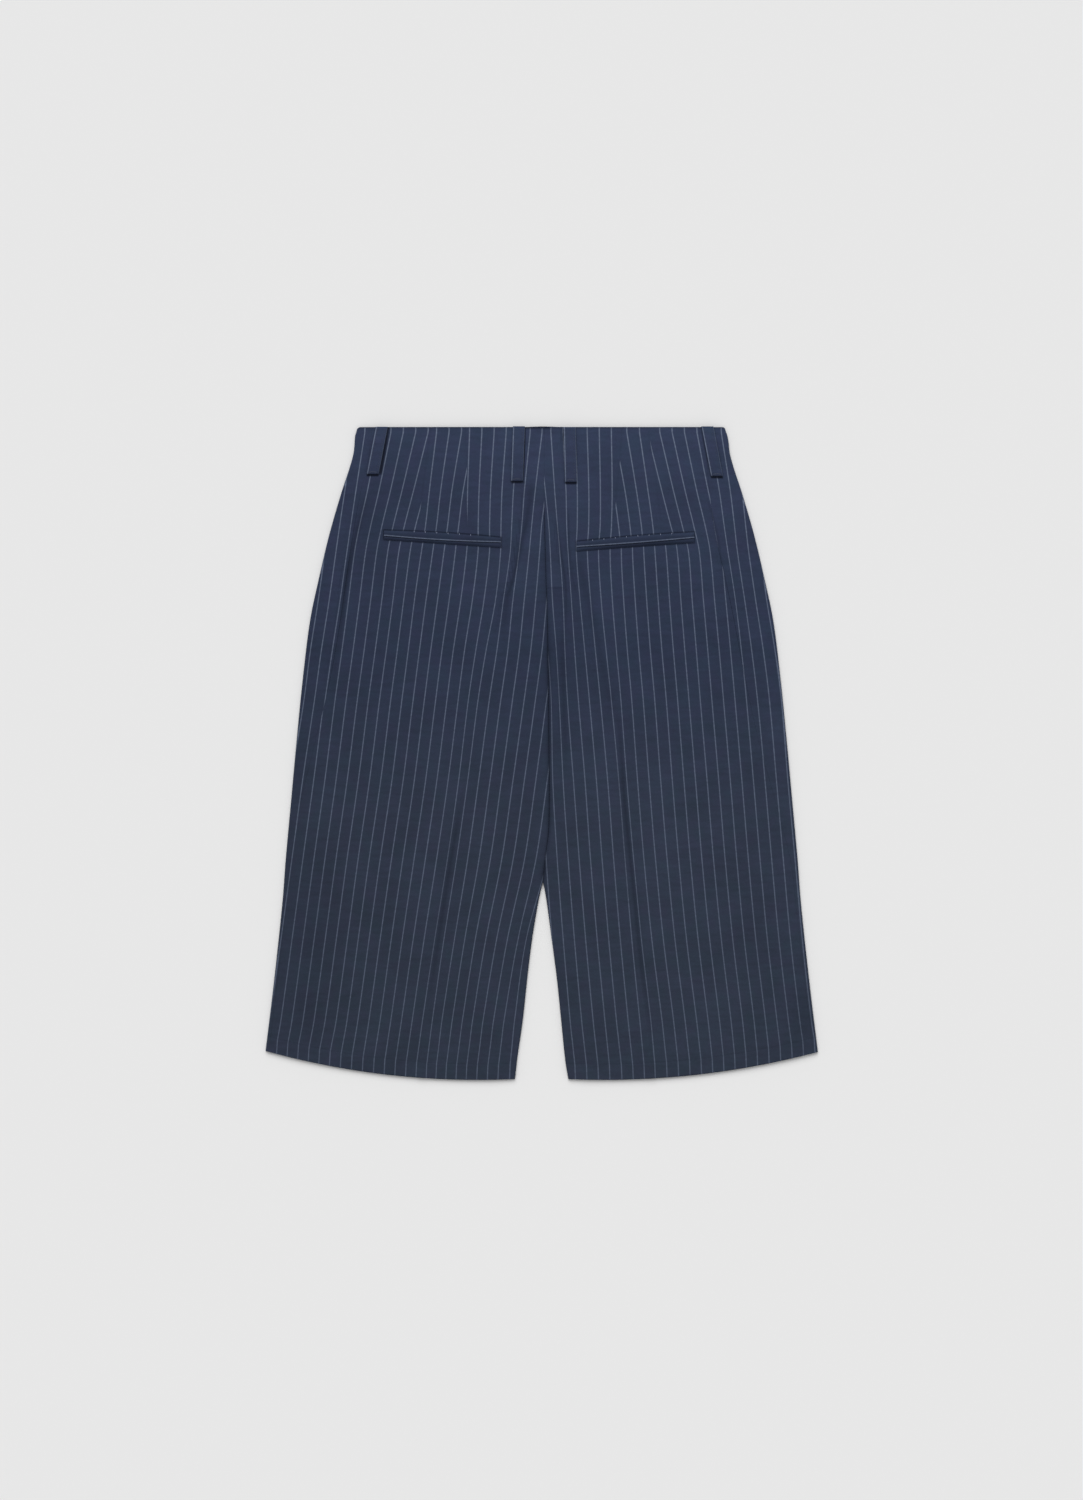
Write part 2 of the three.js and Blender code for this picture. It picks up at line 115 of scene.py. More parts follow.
# The inner dart, and below the pocket the pressed crease of the leg
CREASE = {
    "down": [0, 33, 78, 100, 273, 353, 433, 513, 593, HEM_LOW],
    "left": [-76, -74.3, -74.0, -73.5, -68.5, -78.5, -89.5, -102.5, -114, -122],
    "right": [81.2, 79.0, 74.5, 72, 74.7, 81.3, 88, 95, 104, 113],
}
OUTER_DART = {
    "down": [0, 43, 99, HEM_LOW],
    "left": [-109.8, -115.6, -122.6, -195],
    "right": [106.8, 113.4, 120.6, 195],
}
# Lines of cloth through the two ends of each pocket, so that the mesh has an edge there
POCKET_OUTER_END = {"down": [0, 110, HEM_LOW], "left": [-146, -157, -235], "right": [140, 153.3, 235]}
POCKET_INNER_END = {
    "down": [0, 110, 273, CROTCH, HEM_LOW],
    "left": [-38, -40, -34, -46, -75],
    "right": [38, 35.5, 40, 46, 70],
}


def curve(table, column, down):
    """Cubic Hermite curve through a table's column: the slope at each row is the rise between its
    two neighbours over their distance, and past the last row the curve goes on straight."""
    knots = np.asarray(table["down"], float)
    values = np.asarray(table[column], float)
    before = np.r_[0, np.arange(len(knots) - 1)]
    after = np.r_[np.arange(1, len(knots)), len(knots) - 1]
    slopes = (values[after] - values[before]) / (knots[after] - knots[before])
    down = np.asarray(down, float)
    i = np.clip(np.searchsorted(knots, down, side="right") - 1, 0, len(knots) - 2)
    span = knots[i + 1] - knots[i]
    t = np.clip((down - knots[i]) / span, 0, 1)
    start = (1 + 2 * t) * (1 - t) ** 2 * values[i] + t * (1 - t) ** 2 * span * slopes[i]
    end = t * t * (3 - 2 * t) * values[i + 1] + t * t * (t - 1) * span * slopes[i + 1]
    return start + end + slopes[-1] * np.maximum(down - knots[-1], 0)


def smooth(t):
    """0 below 0, 1 above 1, and 3t squared minus 2t cubed between them."""
    t = np.clip(t, 0, 1)
    return t * t * (3 - 2 * t)


def mix(a, b, t):
    """a at t = 0, b at t = 1, and in proportion between and beyond them."""
    return a + (b - a) * t


def round_edge(distance, radius, least):
    """Share of the full height at a distance in from a round edge: the root of 1 less the square of
    (1 less distance over radius), and never under the root of least."""
    t = np.clip(distance / radius, 0, 1)
    return np.sqrt(np.clip(1 - (1 - t) ** 2, least, 1))


def hem_down(x):
    """Height of the hem: a parabola with its lowest point 61 mm from the middle of the garment."""
    rise = np.where(x < 0, HEM_RISE["left"], HEM_RISE["right"])
    return HEM_LOW - rise * (np.abs(x) - HEM_LOW_X) ** 2


def half_width(down):
    """Half of the garment's width."""
    return curve(SECTIONS, "half", down)


def centre_back(down):
    """x of the centre-back seam, and below the crotch its last value."""
    return curve(CENTRE_BACK, "x", np.minimum(down, CROTCH))


def inner_edge(side, down, middle):
    """Edge next to the other half: the seam line above the crotch, the inner leg below it."""
    above = middle + SIGN[side] * SEWN_GAP / 2
    return np.where(down > CROTCH, curve(INNER_LEG, side, np.maximum(down, CROTCH)), above)


def side_seam(side, down):
    """x of the side seam: the outline less the strip of front panel that wraps round it."""
    return SIGN[side] * (half_width(down) - curve(SECTIONS, side, down))


def fold_line(side, down):
    """x of the line that the front panel turns round: the outline less the fold's radius."""
    ease = EASE[side] * smooth(np.asarray(down) / EASE_START)
    return SIGN[side] * (half_width(down) + ease - FOLD_RADIUS)


print("waist, mm:", 2 * half_width(0), " hem, mm:", round(2 * float(half_width(623)), 1))

# %% [markdown]
# ## Relief of the upper side
#
# Soft suiting laid flat isn't a plate: it stands a little off the layer below, sinks along its seams
# and darts, and keeps the folds it was handled into. All of that is one height function, so that
# every piece on top (panels, loops and pocket lips) sits on the same ground.

# %% Soft folds and pockets
LOFT = 1.6
UNDULATION = 0.32
SHIELD = {"left": -14.0, "right": 22.0, "bottom": 159.7, "rise": 0.6, "fade": 2.5, "soft_fade": 30.0}
DART_END = 104.0
DART_FADE = 14.0
FOLDS = [
    {"width": 5.0, "down": [45, 80, 113, 140, 165, 190, 213, 260, 300],
     "x": [-9.5, -14, -20, -26, -33, -38, -43, -51, -58],
     "depth": [0, 0.5, 0.9, 1.1, 1.0, 0.7, 0.5, 0.3, 0]},
    {"width": 5.5, "down": [30, 80, 118, 163, 213, 263, 300],
     "x": [24, 27, 30, 42, 54, 66, 75], "depth": [0, 0.3, 0.6, 0.7, 0.6, 0.4, 0]},
    {"width": 3.5, "down": [90, 126, 170, 250, 330, 385],
     "x": [16, 20.5, 24, 23, 24.5, 25.5], "depth": [0, 0.5, 0.8, 0.8, 0.5, 0]},
]
POCKETS = {
    "left": {"inner": -40.0, "outer": -157.0, "middle": 111.0,
             "top": (110.5, 103.3, 1.2), "slot": (115.9, 109.3, -1.2), "bottom": (120.8, 112.8, 0)},
    "right": {"inner": 35.5, "outer": 153.3, "middle": 115.0,
              "top": (114.6, 105.1, 1.0), "slot": (120.5, 111.4, -0.5), "bottom": (124.4, 115.9, 0.3)},
}
RECESS = 0.55
RECESS_FADE = 26.0
print("soft folds:", len(FOLDS), " pockets:", list(POCKETS))

# %% Simple shapes


def pocket_line(side, line, x):
    """Down of one long line of a pocket at x: straight between its inner and outer end, less a
    sine bow."""
    pocket = POCKETS[side]
    inner_end, outer_end, bow = pocket[line]
    u = np.clip((x - pocket["inner"]) / (pocket["outer"] - pocket["inner"]), 0, 1)
    return mix(inner_end, outer_end, u) - bow * np.sin(np.pi * u)


def pocket_distance(side, x, down):
    """Distance to the pocket's outline, 0 inside: the hypotenuse of what is missing each way."""
    pocket = POCKETS[side]
    low, high = sorted((pocket["inner"], pocket["outer"]))
    beside = np.maximum(np.maximum(low - x, x - high), 0)
    beyond = np.maximum(pocket_line(side, "top", x) - down, down - pocket_line(side, "bottom", x))
    return np.hypot(beside, np.maximum(beyond, 0))


def notch(distance, half):
    """1 at a line, falling straight to 0 at half a width from it."""
    return np.maximum(0, 1 - np.abs(distance) / half)


def bell(distance, width):
    """e to the power of minus the square of distance over width."""
    return np.exp(-((distance / width) ** 2))


def undulation(x, down):
    """Sum of eight long sine waves in fixed directions, each 60 to 190 mm from crest to crest."""
    draw = np.random.default_rng(6)
    total = np.zeros(np.broadcast(x, down).shape)
    for k in range(8):
        turn, phase = draw.uniform(0, np.pi), draw.uniform(0, 2 * np.pi)
        length = 60 + 130 * k / 7
        total = total + np.sin(2 * np.pi * (x * np.cos(turn) + down * np.sin(turn)) / length + phase)
    return total / 8


def over_shield(x, down):
    """1 above the hidden shield behind the fly, 0 beyond its sides and its lower end, which shows
    right of the centre seam only."""
    across = (SHIELD["left"] + SHIELD["right"]) / 2
    reach = (SHIELD["right"] - SHIELD["left"]) / 2
    beside = 1 - smooth((np.abs(x - across) - reach) / SHIELD["fade"])
    fade = np.where(x > centre_back(down), SHIELD["fade"], SHIELD["soft_fade"])
    return beside * (1 - smooth((down - SHIELD["bottom"]) / fade))


def dart_share(down):
    """1 along a dart, 0 below its end, fading over its last 14 mm."""
    return 1 - smooth((down - DART_END + DART_FADE) / DART_FADE)


print("undulation at the middle of a leg:", undulation(np.array([-150.0]), np.array([400.0])).round(3))

# %% Height of the upper side
# How far in from an edge the loft has its full height
SIDE_FADE = 30.0
INNER_LEG_FADE = 22.0
HEM_FADE = 60.0
# Depth and reach of each groove
CENTRE_GROOVE = (0.5, 5.0)
SIDE_GROOVE = (0.5, 4.5)
DART_GROOVE = (0.2, 1.8)
HEM_GROOVE = (0.12, 0.9)
# The hem band is a step higher, and the groove lies this far above it
HEM_STEP = 0.35
HEM_FURROW = 0.8
# Height of the pressed crease, its reach towards the centre seam and away from it, and the depth,
# place and reach of the hollow beside it
CREASE_HEIGHT = 0.7
CREASE_REACH = (7.0, 2.2)
CREASE_HOLLOW = (0.3, 4.0, 2.6)


def relief(side, x, down):
    """Height of the upper side above its lowest place: a loft that fades towards folds, legs and
    hem, less the grooves of seams and darts, plus the ridges of creases and folds."""
    middle = centre_back(down)
    to_hem = hem_down(x) - down
    legness = smooth((down - CROTCH + 60) / 90)
    to_inner = np.abs(x - inner_edge(side, down, middle))
    leg_fade = 1 - legness * (1 - smooth(to_inner / INNER_LEG_FADE))
    edge_fade = smooth((half_width(down) - np.abs(x)) / SIDE_FADE)
    ground = edge_fade * leg_fade * mix(0.3, 1, smooth(to_hem / HEM_FADE))
    lift = (LOFT + UNDULATION * undulation(x, down)) * ground
    lift += SHIELD["rise"] * over_shield(x, down)
    for fold in FOLDS:
        inside = (down > fold["down"][0]) & (down < fold["down"][-1])
        depth = np.where(inside, np.maximum(curve(fold, "depth", down), 0), 0)
        distance = x - curve(fold, "x", down)
        lift -= depth * (0.75 * bell(distance, fold["width"]) + 0.35 * bell(distance, 2.2 * fold["width"]))
    centre_share = (1 - smooth((down - CROTCH + 40) / 40)) * mix(0.1, 1, smooth((down - 60) / 60))
    lift -= CENTRE_GROOVE[0] * centre_share * notch(x - middle, CENTRE_GROOVE[1])
    wrap_share = smooth((curve(SECTIONS, side, down) - 6) / 10) * mix(0.3, 1, smooth((down - 50) / 40))
    lift -= SIDE_GROOVE[0] * wrap_share * bell(x - side_seam(side, down), SIDE_GROOVE[1])
    crease, dart = curve(CREASE, side, down), curve(OUTER_DART, side, down)
    depth, reach = DART_GROOVE
    lift -= depth * dart_share(down) * (notch(x - crease, reach) + notch(x - dart, reach))
    pressed = smooth((down - 260) / 110)
    toward_centre = -SIGN[side] * (x - crease)
    inwards, outwards = (bell(toward_centre, reach) for reach in CREASE_REACH)
    lift += CREASE_HEIGHT * pressed * np.where(toward_centre > 0, inwards, outwards)
    depth, place, reach = CREASE_HOLLOW
    lift -= depth * pressed * bell(toward_centre + place, reach)
    distance = pocket_distance(side, x, down)
    lift += RECESS * smooth(distance / 0.9) * (1 - smooth(distance / RECESS_FADE))
    lift += HEM_STEP * (1 - smooth((to_hem - HEM_BAND) / 1.2))
    lift -= HEM_GROOVE[0] * bell(to_hem - HEM_BAND - HEM_FURROW, HEM_GROOVE[1])
    return np.maximum(lift, 0)


def upper_top(side, x, down):
    """Height of the upper side above the table: two walls, the gap between them, and the relief."""
    return 2 * WALL + LAYER_GAP + relief(side, x, down)


print("height at the back pocket, mm:", round(float(upper_top("left", -100.0, 90.0)), 2))

# %% [markdown]
# ## Painted shade and light
#
# In the bottom of a seam, beside the edge and below the end of a belt loop, inside a sharp fold
# and in soft hollows, shade is painted into the colour of the cloth, which is drawn darker there.
# Over the hidden thick end of the shield and on a few soft swells, light is painted in and the cloth
# is drawn a little paler. Broad places are stored as one shade for each point. A narrow line would
# look like a string of beads that way, so for lines each point stores its signed distance from
# the line, in line widths, and the finish works out a sharp, even line from that.

# %% Belt loop places and painted shade lines
LOOP_WIDTH = 12.0
BACK_LOOPS = {
    "belt_loop_back_left_outer": {"side": "left", "top": -159.2, "end": -168.4, "above": 0.1, "down": 47.5},
    "belt_loop_back_left_inner": {"side": "left", "top": -22.1, "end": -24.1, "above": 0.6, "down": 54.5},
    "belt_loop_back_right_inner": {"side": "right", "top": 28.5, "end": 29.8, "above": -0.2, "down": 55.5},
    "belt_loop_back_right_outer": {"side": "right", "top": 166.3, "end": 175.9, "above": 0.5, "down": 49.5},
}
# Painted shade along lines: beside the belt loops' edges, along the fly, folds and side seams, and in the
# creases
PAINTED_SHADE_LINES = {
    "left": [
        {"down": [0, 4, 20, 38, 46, 49], "x": [-152.6, -153.0, -155.8, -159.0, -160.4, -161.0],
         "shade": [0.6, 0.8, 0.85, 0.85, 0.8, 0], "width": [1.7, 1.6, 1.6, 1.7, 1.7, 1.6]},
        {"down": [0, 5, 50, 56], "x": [-16.2, -16.2, -17.8, -18.1],
         "shade": [0.6, 0.8, 0.7, 0], "width": [1.0, 1.0, 0.9, 0.9]},
        {"down": [50, 63, 96, 120, 140, 160, 170, 190, 215],
         "x": [-8.5, -10, -15, -20.8, -25.1, -30.3, -33.6, -36, -38],
         "shade": [0, 0.22, 0.36, 0.38, 0.46, 0.46, 0.32, 0.22, 0],
         "width": [3.4, 3.4, 3.0, 2.4, 2.0, 2.0, 2.8, 3.4, 3.4]},
        {"down": [60, 93, 115, 139, 163, 187, 213, 253, 290],
         "x": [-172, -181, -187, -192, -196, -198.6, -202, -207, -209],
         "shade": [0, 0.24, 0.42, 0.5, 0.5, 0.4, 0.24, 0.14, 0],
         "width": [3.4, 3.2, 2.8, 2.8, 2.8, 2.8, 3, 4, 4]},
        {"down": [365, 385, 403, 423, 453, 485, 508, 535, 560, 580],
         "x": [-79.5, -82.5, -85, -88.5, -93.5, -98.5, -102, -106, -110, -113],
         "shade": [0, 0.12, 0.29, 0.35, 0.36, 0.34, 0.32, 0.28, 0.12, 0],
         "width": [2.4, 2.4, 2.4, 2.4, 2.5, 2.5, 2.5, 2.5, 2.5, 2.5]},
    ],
    "right": [
        {"down": [0, 2, 10, 14, 18], "x": [22.4, 22.4, 22.2, 22.2, 22.2],
         "shade": [0, 0.4, 0.6, 0.4, 0], "width": [0.9, 0.9, 0.9, 0.9, 0.9]},
        {"down": [0, 4, 15, 31, 42, 50], "x": [159.8, 160.6, 162.6, 166, 168.2, 169.4],
         "shade": [0.25, 0.36, 0.36, 0.3, 0.2, 0], "width": [0.9, 0.9, 0.9, 0.9, 0.8, 0.8]},
        {"down": [90, 103, 126, 151, 170, 190, 205], "x": [14.5, 16.5, 19.8, 24, 25, 24.8, 24.5],
         "shade": [0, 0.28, 0.32, 0.3, 0.3, 0.22, 0], "width": [1.3, 1.3, 1.2, 1.2, 1.3, 1.6, 2]},
        {"down": [80, 92, 126, 146, 161, 180], "x": [27.2, 27.6, 28.2, 30.7, 34, 37],
         "shade": [0, 0.24, 0.24, 0.2, 0.14, 0], "width": [0.9, 0.9, 0.9, 1.1, 1.4, 1.6]},
        {"down": [195, 215, 240, 290, 320, 350], "x": [22, 21.8, 22.2, 23.5, 24.5, 25.5],
         "shade": [0, 0.16, 0.24, 0.26, 0.12, 0], "width": [2.6, 3, 3, 2.6, 2.4, 2.4]},
        {"down": [70, 79, 107, 135, 151, 172], "x": [165.5, 168.4, 176.3, 180.4, 182.8, 186],
         "shade": [0, 0.16, 0.22, 0.2, 0.12, 0], "width": [1.2, 1.2, 1.2, 1.2, 1.2, 1.4]},
        {"down": [122, 145, 182, 206, 230, 254, 275, 290], "x": [38, 41, 49, 54.5, 60, 65, 70, 74],
         "shade": [0, 0.17, 0.2, 0.18, 0.17, 0.16, 0.13, 0], "width": [4, 4, 4, 4, 4, 4, 3.5, 3.5]},
        {"down": [285, 298, 323, 353, 383, 418, 450, 478, 508, 545, 568, 600, 622],
         "x": [76, 77.7, 80, 81.7, 84, 87.7, 91.3, 94.3, 97.2, 101.5, 105, 109.5, 112.5],
         "shade": [0, 0.15, 0.24, 0.35, 0.38, 0.37, 0.34, 0.31, 0.28, 0.27, 0.24, 0.14, 0],
         "width": [2.2, 2.2, 2.3, 2.4, 2.4, 2.4, 2.5, 2.5, 2.5, 2.5, 2.5, 2.5, 2.5]},
    ],
}
# Painted shade of soft hollows, and painted light on soft swells where the shade is below 0; they
# are painted only, not shaped: x, down, reach across, reach down, shade
PAINTED_SHADE_PATCHES = [
    (-168, 96, 18, 20, 0.2),
    (-182, 142, 14, 26, 0.06),
    (-135, 45, 50, 38, 0.1),
    (-135, 175, 36, 26, 0.03),
    (-232, 310, 18, 60, 0.015),
    (-236, 492, 32, 60, 0.15),
    (-240, 560, 24, 30, 0.07),
    (-240, 608, 34, 26, 0.1),
    (-196, 642, 30, 14, 0.08),
    (-168, 604, 24, 18, -0.008),
    (-100, 560, 40, 40, 0.03),
    (-75, 375, 44, 44, -0.014),
    (-38, 143, 36, 24, -0.03),
    (8, 80, 45, 62, -0.018),
    (10, 240, 14, 50, 0.09),
    (45, 330, 26, 60, -0.012),
    (66, 128, 16, 14, 0.05),
    (98, 350, 34, 46, -0.016),
    (110, 450, 50, 60, -0.01),
    (215, 500, 35, 40, 0.05),
    (238, 310, 22, 60, -0.016),
    (242, 550, 34, 50, 0.06),
    (260, 592, 15, 32, 0.15),
]
LINE_REACH = 3.5
print("pinched lines:", {side: len(lines) for side, lines in PAINTED_SHADE_LINES.items()})

# %% Painted shade at a point
# Painted shade of the centre seam: shade, where it starts and over what length it comes in; then
# where it fades out
SEAM_SHADES = [(0.26, 62, 40), (0.22, 180, 50)]
SEAM_SHADE_END = (400, 50)
SEAM_REACH = 2.3
# Painted shade at the dark point above the crotch: shade, place, reach down and reach across
CROTCH_SHADE = (0.65, 446, 12, 2.4)
# Painted shade along the darts, in the pocket's mouth and in the hem's furrow
DART_SHADE = 0.07
MOUTH_SHADE = 0.7
HEM_SHADE = 0.12
# Painted shade along the waist edge: shade and reach beside the middle, and in the middle between
# these two x, where a darker strip stands for the shaded inside of the front waist edge
WAIST_SHADE = (0.45, 0.9)
WAIST_REACH = (0.9, 1.5)
WAIST_DARK_SPAN = (-17, 8)


def painted_shade_line(side, x, down):
    """Signed distance to the closest line in widths, and that line's painted shade, 0 away from it."""
    distance, strength = np.full(x.shape, 3.0), np.zeros(x.shape)
    for line in PAINTED_SHADE_LINES[side]:
        width = curve(line, "width", down)
        away = x - curve(line, "x", down)
        on = (np.abs(away) < np.maximum(2.2 * width, LINE_REACH)) & (down < line["down"][-1])
        on &= (down >= line["down"][0]) & (np.abs(away) < np.abs(distance * width))
        distance = np.where(on, away / width, distance)
        strength = np.where(on, np.maximum(curve(line, "shade", down), 0), strength)
    return distance, strength


def broad_shade(side, x, down):
    """Painted shade and light of soft hollows and swells, painted shade of seam, darts, pocket mouth,
    hem line and waist edge, each a bell across itself, a painted shadow on the cloth under the loops'
    ends, and a painted highlight over the end of the shield with painted shade below it."""
    middle = centre_back(down)
    shade = np.zeros(np.broadcast(x, down).shape)
    for hollow_x, hollow_down, width, height, depth in PAINTED_SHADE_PATCHES:
        shade = shade + depth * bell(x - hollow_x, width) * bell(down - hollow_down, height)
    seam_dark = sum(depth * smooth((down - start) / length) for depth, start, length in SEAM_SHADES)
    start, length = SEAM_SHADE_END
    shade += seam_dark * (1 - smooth((down - start) / length)) * bell(x - middle, SEAM_REACH)
    depth, place, reach_down, reach = CROTCH_SHADE
    shade += depth * bell(down - place, reach_down) * bell(x - middle, reach)
    for line in (CREASE, OUTER_DART):
        shade += DART_SHADE * dart_share(down) * bell(x - curve(line, side, down), 1.0)
    distance = pocket_distance(side, x, down)
    shade += MOUTH_SHADE * bell(distance, 0.9) * (distance > 0)
    # Painted shadow on the cloth just below the lower end of each loop
    for loop in BACK_LOOPS.values():
        if loop["side"] == side:
            under = 1 - smooth((np.abs(x - loop["end"]) - LOOP_WIDTH / 2 + 0.6) / 1.2)
            past_end = down - loop["down"]
            shade += under * smooth((past_end + 0.8) / 0.6) * (1 - smooth((past_end - 1.1) / 1.2))
    # Painted highlight over the hidden end of the shield, and painted shade just below it
    patch = smooth((x - middle - 2) / 5) * (1 - smooth((x - 20.5) / 2.0)) * smooth((down - 130) / 25)
    shade -= 0.025 * patch * (1 - smooth((down - 159.2) / 1.0))
    shade += 0.1 * patch * smooth((down - 159.6) / 1.0) * (1 - smooth((down - 165) / 15))
    to_hem = hem_down(x) - down
    shade += HEM_SHADE * bell(to_hem - HEM_BAND - HEM_FURROW, 1.0)
    left_end, right_end = WAIST_DARK_SPAN
    dark_span_share = smooth((x - left_end) / 3) * (1 - smooth((x - right_end) / 3))
    shade += mix(*WAIST_SHADE, dark_span_share) * bell(down - 0.5, mix(*WAIST_REACH, dark_span_share))
    return np.clip(shade, -1, 1)


print("shade in a pocket's slot:", broad_shade("left", np.array([-100.0]), np.array([112.0])).round(3))

# %% [markdown]
# ## Stripes
#
# The cloth is woven with a fine pale stripe every 11.4 mm. A stripe follows the grain, so it shows how
# the cloth lies: it leans along the seams, is swallowed by a dart, and comes closer where a
# fold stands on edge. Drawing straight lines from above would lose all that. Instead every point gets a
# stripe number, read between a few numbered stripes whose places were measured at each height.
# The number goes into the piece's UV map, and the finish draws a line wherever it is whole.

# %% Numbered stripes
PITCH = 11.4
# Added to every measured place of that side
STRIPE_SHIFT = {"left": 0.6, "right": 0.35}
HEIGHTS = [5, 63, 99, 125, 173, 223, 273, 353, 433, 513, 593, 618]
STRIPES = {
    "left": {
        "down": HEIGHTS,
        "shift": STRIPE_SHIFT["left"],
        20: [-163, -174, -182.1, -187, -193.1, -199.6, -206.5, -216.7, -227.8, -238.6, -249.6, -254.1],
        16: [-113.4, -127.9, -137.2, -142.8, -148.6, -155.2, -162, -172, -183.6, -194.3, -205.3, -210.1],
        14: [-105, -112.1, -116.1, -120.2, -127.1, -133.3, -139.7, -149.6, -161.5, -172.6, -183.7, -187.8],
        12: [-80, -89.6, -94, -97.6, -104, -110.8, -117.2, -127.2, -138.9, -150.4, -161.4, -165.3],
        9: [-59.7, -62.5, -63.4, -63.6, -69.2, -77, -83.4, -93.4, -105.1, -117.6, -129.3, -132.9],
        8: [-47.4, -51, -52, -52.1, -57.6, -65.7, -73.2, -82.8, -94.1, -106.9, -119, -122.5],
        7: [-35.4, -39.5, -40.6, -41, -45.9, -55.5, -63.6, -73.9, -85.3, -97.9, -109.2, -112.4],
        6: [-23.4, -28.1, -29.9, -31.3, -38.2, -44.7, -52.3, -62.9, -74.1, -87.2, -99.6, -102.7],
        5: [-11.4, -17.1, -19.8, -22.7, -28.8, -33.8, -40.8, -51.5, -62.7, -77, -89.3, -92.6],
        3: [12.4, 4.5, -0.1, -2, -5.9, -10.8, -17.4, -28.6, -40, -55.9, -69, -72.2],
        0: [48, 38, 33, 31, 27, 23, 16.2, 5.7, -5.8, -23.6, -37.5, -40.6],
        -1: [60, 49, 44, 43, 39, 34.5, 28, 17.5, 5.5, -15.5, -27, -29.5],
    },
    "right": {
        "down": HEIGHTS,
        "shift": STRIPE_SHIFT["right"],
        1: [-2.5, 3.9, 7.4, 8.9, 11.1, 14.9, 17.9, 21.7, 26.9, 33.1, 40.2, 42.9],
        2: [9.5, 13.2, 16.1, 18.5, 21.9, 23.5, 26, 32, 37.9, 44.3, 51.7, 54.4],
        3: [21.6, 24.6, 25.3, 26.7, 30, 33.3, 37, 43.6, 49.2, 55.9, 63.5, 66],
        4: [33.7, 35.9, 35.8, 34.9, 38.6, 43.3, 48, 55, 60.8, 67.4, 75, 77.8],
        6: [57.9, 59, 58.8, 57.1, 59.8, 64.7, 70, 77.5, 83.9, 90.6, 98.4, 100.8],
        7: [70, 70.8, 70.1, 68.7, 71, 75, 79.4, 85.1, 92.1, 100, 109.4, 111.7],
        8: [85, 82.2, 81.4, 79.9, 82.3, 85.9, 90.3, 96.1, 102.6, 110.5, 120.6, 123.3],
        10: [85.4, 95, 100, 102.3, 105.3, 109, 113.4, 119.2, 125.9, 133.8, 143.8, 146.3],
        11: [98.1, 106.5, 111.4, 113.6, 116.8, 120.5, 124.9, 130.9, 137.4, 145.2, 155.2, 158],
        14: [118.3, 131.9, 140.9, 147.1, 150.8, 154.9, 158.9, 165.7, 172.2, 180, 189.6, 192.2],
        16: [143, 155.2, 163.8, 168.8, 173.2, 177.8, 182.1, 188.9, 195.4, 202.9, 212.6, 215.1],
        20: [193, 201, 209.5, 212.5, 218, 223, 228.1, 235.1, 242, 249.2, 258.4, 262],
    },
}
# Stripes of the front panels where they show beside the side seams
WRAP_STRIPES = {
    "left": {
        "down": HEIGHTS,
        "shift": STRIPE_SHIFT["left"],
        21: [-176.7, -185.6, -190.9, -194.7, -201.4, -209.2, -216.5, -227.9, -238.8, -249.7, -260.8, -265.1],
        22: [-187.8, -196.7, -202, -205.7, -212.4, -220.2, -227.1, -239, -249.9, -260.8, -271.9, -276.2],
    },
    "right": {
        "down": HEIGHTS,
        "shift": STRIPE_SHIFT["right"],
        18: [168, 177.8, 182.8, 186.6, 194, 200, 205.3, 212, 218.7, 225.9, 235.3, 238.4],
        19: [179.9, 188.8, 193.1, 196, 203.2, 210.2, 216.1, 223.7, 230.2, 237.4, 246.8, 250.1],
        20: [191.5, 200.5, 204.4, 207.4, 214.3, 221.9, 228.1, 235.1, 242, 249.2, 258.4, 262],
    },
}
# Between darts the cloth above the pocket is read from its own stripes only
ABOVE_POCKET = {
    "left": {"outer": [20, 16], "between": [14, 12], "inner": [9, 8, 7, 6, 5, 3, 0, -1]},
    "right": {"outer": [20, 16, 14], "between": [11, 10], "inner": [7, 6, 4, 3, 2, 1]},
}
BELOW_POCKET = {
    "left": [20, 16, 14, 12, 9, 8, 7, 6, 5, 3, 0, -1],
    "right": [20, 16, 14, 11, 8, 7, 6, 4, 3, 2, 1],
}
HEM_LEAN = 0.35


def stripe_number(table, numbers, x, down):
    """Number at x, in a straight line between the two numbered stripes on either side of it, and
    past the last ones with their spacing. On the hem band the stripes lean less."""
    band = hem_down(x) - HEM_BAND
    height = np.where(down > band, band + HEM_LEAN * (down - band), down)
    places = [curve(table, n, height) + table["shift"] for n in numbers]
    if np.mean(places[0]) > np.mean(places[-1]):
        places, numbers = places[::-1], numbers[::-1]
    result = np.zeros_like(x)
    for k in range(len(numbers) - 1):
        t = (x - places[k]) / (places[k + 1] - places[k])
        low = 0 if k else -np.inf
        high = 1 if k < len(numbers) - 2 else np.inf
        inside = (t >= low) & (t < high)
        result = np.where(inside, mix(numbers[k], numbers[k + 1], t), result)
    return result


check = stripe_number(STRIPES["left"], BELOW_POCKET["left"], np.array([-62.1]), np.array([433.0]))
print("stripe at its own place:", check)

# %% [markdown]
# ## Cloth as a closed wall
#
# Each piece is a grid of points on the middle of the cloth, moved out by half a thickness to both
# sides and closed round its rim. Solidify could do this too, but a grid made here can also round the
# cut edges, the way a turned edge looks, and can hold a different stripe number on the two sides of a
# dart, because Blender keeps UVs for each corner of a face and not for each point.

# %% Grid to mesh
MM = 0.001
SHARP_ANGLE = 60.0


def corners(grid):
    """Values at the four corners of each quad: this point, next row, both next, next column."""
    return np.stack([grid[:-1, :-1], grid[1:, :-1], grid[1:, 1:], grid[:-1, 1:]], axis=-1)


def grid_faces(rows, columns, first):
    """Corner numbers of the quads of a grid whose points are numbered row by row from first."""
    return corners(first + np.arange(rows * columns).reshape(rows, columns)).reshape(-1, 4)


